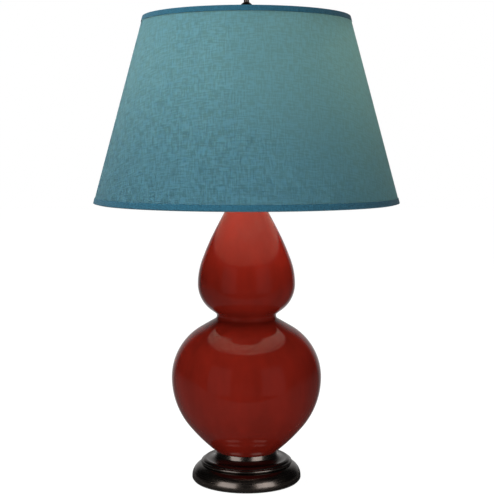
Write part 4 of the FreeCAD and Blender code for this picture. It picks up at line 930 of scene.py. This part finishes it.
class LAMP_OT_finial(bpy.types.Operator):
    """Turns the finial: base, waisted neck, collar, ball and domed tip, bored for its stud"""

    bl_idname = "lamp.finial"
    bl_label = "Finial"

    def execute(self, context):
        s = context.scene.finial_sizes
        bottom, top = (corner[2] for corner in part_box("finial_knob"))
        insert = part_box("finial_insert")[1]
        insert_top = insert[2] + s.end_gap
        stud_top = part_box("finial_stud")[1][2] + s.end_gap
        bore = insert[0] + s.side_gap
        ball = Vector((0, bottom + s.ball_rise))
        collar_top = ball.y - s.ball + s.collar_sink
        collar_bottom = collar_top - s.collar_height
        seat = math.sqrt(s.ball**2 - s.tip_foot**2)

        pen = Pen("finial", (bore, bottom))
        pen.line((s.base, bottom))
        pen.bow((s.base, bottom + s.base_height), s.bow)
        pen.line((s.neck, bottom + s.base_height), (s.neck, collar_bottom - s.collar_height))
        pen.bow((s.collar, collar_bottom), -s.bow)
        pen.bow((s.collar, collar_top), s.bow)
        pen.line((math.sqrt(s.ball**2 - (ball.y - collar_top) ** 2), collar_top))
        pen.arc(ball, math.acos(s.tip_foot / s.ball) + math.asin((ball.y - collar_top) / s.ball))
        pen.line((s.tip_foot, ball.y + seat))
        pen.bow((s.tip, top - s.tip), -s.bow)
        pen.corner((0, top))
        pen.line((0, stud_top), (s.pilot, stud_top), (s.pilot, insert_top), (bore, insert_top))
        stands_for(pen.turned(s.segments), "finial_knob", "patina_bronze", "finial_knob")
        return {"FINISHED"}


# ---- Hardware, studio and panel ----


class LAMP_OT_hardware(bpy.types.Operator):
    """Gives every carried-over part of the frame its finish"""

    bl_idname = "lamp.hardware"
    bl_label = "Hardware finishes"

    def execute(self, context):
        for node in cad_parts.values():
            for slot in node.material_slots:
                slot.material = finish(slot.material.name)
        return {"FINISHED"}


class LAMP_OT_studio(bpy.types.Operator):
    """Sets the camera, the softboxes, the white table and the white surroundings"""

    bl_idname = "lamp.studio"
    bl_label = "Studio"

    def execute(self, context):
        s = context.scene.studio_settings
        for spare in [o for o in bpy.data.objects if o.type in {"CAMERA", "LIGHT"}]:
            bpy.data.objects.remove(spare)
        bpy.ops.object.camera_add(
            location=(0, -s.distance, s.height), rotation=(math.pi / 2 - s.tilt, 0, 0)
        )
        camera = context.object
        camera.name = "camera"
        camera.data.lens = s.lens
        camera.data.sensor_width = SENSOR_WIDTH
        camera.data.shift_x = s.shift
        context.scene.camera = camera
        context.scene.view_settings.view_transform = "Standard"

        # Softboxes show in the gloss alone: faint in the glaze, bright in the turned metal.
        # The front and side lights and the shade's mouth light the colours alone.
        metal = bpy.data.collections.new("turned_metal")
        for name in ("foot", "finial"):
            metal.objects.link(bpy.data.objects[name])
        for side, azimuth in (("left", -s.box_azimuth), ("right", s.box_azimuth)):
            self.softbox("softbox_" + side, azimuth, s.box_distance, s.softboxes)
            nearer = s.box_distance - METAL_BOX_NEARER
            bright = self.softbox("metal_" + side, azimuth, nearer, s.metal_boxes)
            bright.light_linking.receiver_collection = metal
        self.softbox(
            "front",
            azimuth=math.radians(2),
            distance=0.95,
            power=s.front,
            elevation=math.radians(-22),
            size=(0.6, 0.3),
            in_gloss=False,
        )
        self.softbox(
            "side_left",
            azimuth=math.radians(-62),
            distance=2.0,
            power=s.side_left,
            elevation=math.radians(66),
            size=(1.4, 1.4),
            in_gloss=False,
        )
        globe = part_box("bulb_glass")[1][2] - context.scene.bulb_sizes.globe
        lamp = self.light("bulb_light", "POINT", s.bulb, (0, 0, globe))
        lamp.data.shadow_soft_size = s.bulb_glow
        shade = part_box("shade_fabric")
        mouth = self.light("shade_mouth", "AREA", s.mouth, (0, 0, shade[0][2]))
        mouth.data.shape = "DISK"
        mouth.data.size = 2 * shade[1][0] * MOUTH_SHARE
        mouth.visible_glossy = False
        lamp.data.color = mouth.data.color = context.scene.finish_colours.lamp
        self.table()
        self.surroundings(context.scene, s.ambient)
        return {"FINISHED"}

    def light(self, name, kind, power, place, rotation=(0, 0, 0)):
        """A light that the camera doesn't see."""
        bpy.ops.object.light_add(type=kind, location=place, rotation=rotation)
        light = bpy.context.object
        light.name = name
        light.data.energy = power
        light.visible_camera = False
        return light

    def softbox(self, name, azimuth, distance, power, elevation=0, size=SOFTBOX_SIZE, in_gloss=True):
        """Lights the gloss or the colours from an azimuth: 0 is in front, positive to the right."""
        aim = bpy.context.scene.studio_settings.aim
        side, front = math.sin(azimuth), -math.cos(azimuth)
        reach = distance * math.cos(elevation)
        place = (side * reach, front * reach, aim + distance * math.sin(elevation))
        light = self.light(name, "AREA", power, place, (math.pi / 2 - elevation, 0, azimuth))
        light.data.shape = "RECTANGLE"
        light.data.size, light.data.size_y = size
        light.visible_glossy = in_gloss
        light.visible_diffuse = not in_gloss
        return light

    def table(self):
        """The white table top."""
        bpy.ops.object.select_all(action="DESELECT")
        bpy.ops.mesh.primitive_plane_add(size=1)
        table = bpy.context.object
        table.name = "table"
        bpy.ops.object.mode_set(mode="EDIT")
        bpy.ops.transform.resize(value=(*TABLE_SIZE, 1))
        bpy.ops.transform.translate(value=(0, TABLE_BACK, 0))
        bpy.ops.object.mode_set(mode="OBJECT")
        material = new_finish("white_table", self.table_white)
        material.cycles.emission_sampling = "NONE"
        table.data.materials.append(material)

    def table_white(self, add):
        """White to the camera, dim to the lamp and clear from below."""
        path = add("LightPath").outputs
        place = add("TexCoord").outputs["Object"]
        bearing = add("VectorMath", {0: place}, operation="NORMALIZE")
        behind = self.gloss_level(add, bearing)
        gloss = add("Math", {0: path["Is Glossy Ray"], 1: behind}, operation="MULTIPLY")
        bounce = add(
            "Math",
            {0: path["Is Diffuse Ray"], 1: TABLE_BOUNCE, 2: gloss},
            operation="MULTIPLY_ADD",
        )
        level = add("Math", {0: path["Is Camera Ray"], 1: TABLE_WHITE, 2: bounce}, operation="MULTIPLY_ADD")
        shine = add("Emission", {"Strength": level})
        matt = add("BsdfDiffuse", {"Color": TABLE_GREY})
        both = add("AddShader", {0: shine, 1: matt})
        clear = add("BsdfTransparent")
        below = add("NewGeometry").outputs["Backfacing"]
        return add("MixShader", {0: below, 1: both, 2: clear})

    def gloss_level(self, add, direction):
        """Level of what a reflection shows: light behind the lamp and dark before it."""
        backward = add("SeparateXYZ", {0: direction}).outputs["Y"]
        return add("MapRange", {
            "Value": backward,
            "From Min": BEHIND_FROM,
            "From Max": BEHIND_TO,
            "To Min": GLOSS_BEFORE,
            "To Max": GLOSS_BEHIND,
        })

    def surroundings(self, scene, ambient):
        """White to the camera and through glass, even light, and a gloss lit from behind."""
        world = bpy.data.worlds.new("studio")
        scene.world = world
        world.use_nodes = True
        world.node_tree.nodes.clear()
        add = partial(add_node, world.node_tree)
        path = add("LightPath").outputs
        behind = self.gloss_level(add, add("TexCoord").outputs["Generated"])
        seen = add("Mix", {0: path["Is Camera Ray"], 2: ambient, 3: 1.0})
        clear = add("Mix", {0: path["Is Transmission Ray"], 2: seen, 3: 1.0})
        level = add("Mix", {0: path["Is Glossy Ray"], 2: clear, 3: behind})
        sky = add("Background", {"Strength": level, "Color": (1, 1, 1, 1)})
        add("OutputWorld", {0: sky})


class LAMP_PT_pieces(bpy.types.Panel):
    """Lists the lamp's pieces and their sizes"""

    bl_idname = "LAMP_PT_pieces"
    bl_label = "Double gourd lamp"
    bl_space_type = "VIEW_3D"
    bl_region_type = "UI"
    bl_category = "Lamp"

    def draw(self, context):
        layout = self.layout
        for operator in OPERATORS:
            layout.operator(operator.bl_idname)
        for group in GROUPS:
            box = layout.box()
            box.label(text=group.replace("_", " ").capitalize())
            settings = getattr(context.scene, group)
            for name in settings.__annotations__:
                box.prop(settings, name)


OPERATORS = (
    LAMP_OT_gourd,
    LAMP_OT_foot,
    LAMP_OT_felt,
    LAMP_OT_shade,
    LAMP_OT_bulb,
    LAMP_OT_finial,
    LAMP_OT_hardware,
    LAMP_OT_studio,
)


def register():
    for group in (*GROUPS.values(), *OPERATORS, LAMP_PT_pieces):
        bpy.utils.register_class(group)
    for name, group in GROUPS.items():
        setattr(bpy.types.Scene, name, PointerProperty(type=group))


def unregister():
    for name in GROUPS:
        delattr(bpy.types.Scene, name)
    for group in reversed((*GROUPS.values(), *OPERATORS, LAMP_PT_pieces)):
        bpy.utils.unregister_class(group)


def main():
    register()
    bpy.ops.lamp.gourd()
    bpy.ops.lamp.foot()
    bpy.ops.lamp.felt()
    bpy.ops.lamp.shade()
    bpy.ops.lamp.bulb()
    bpy.ops.lamp.finial()
    bpy.ops.lamp.hardware()
    bpy.ops.lamp.studio()


if __name__ == "__main__":
    main()
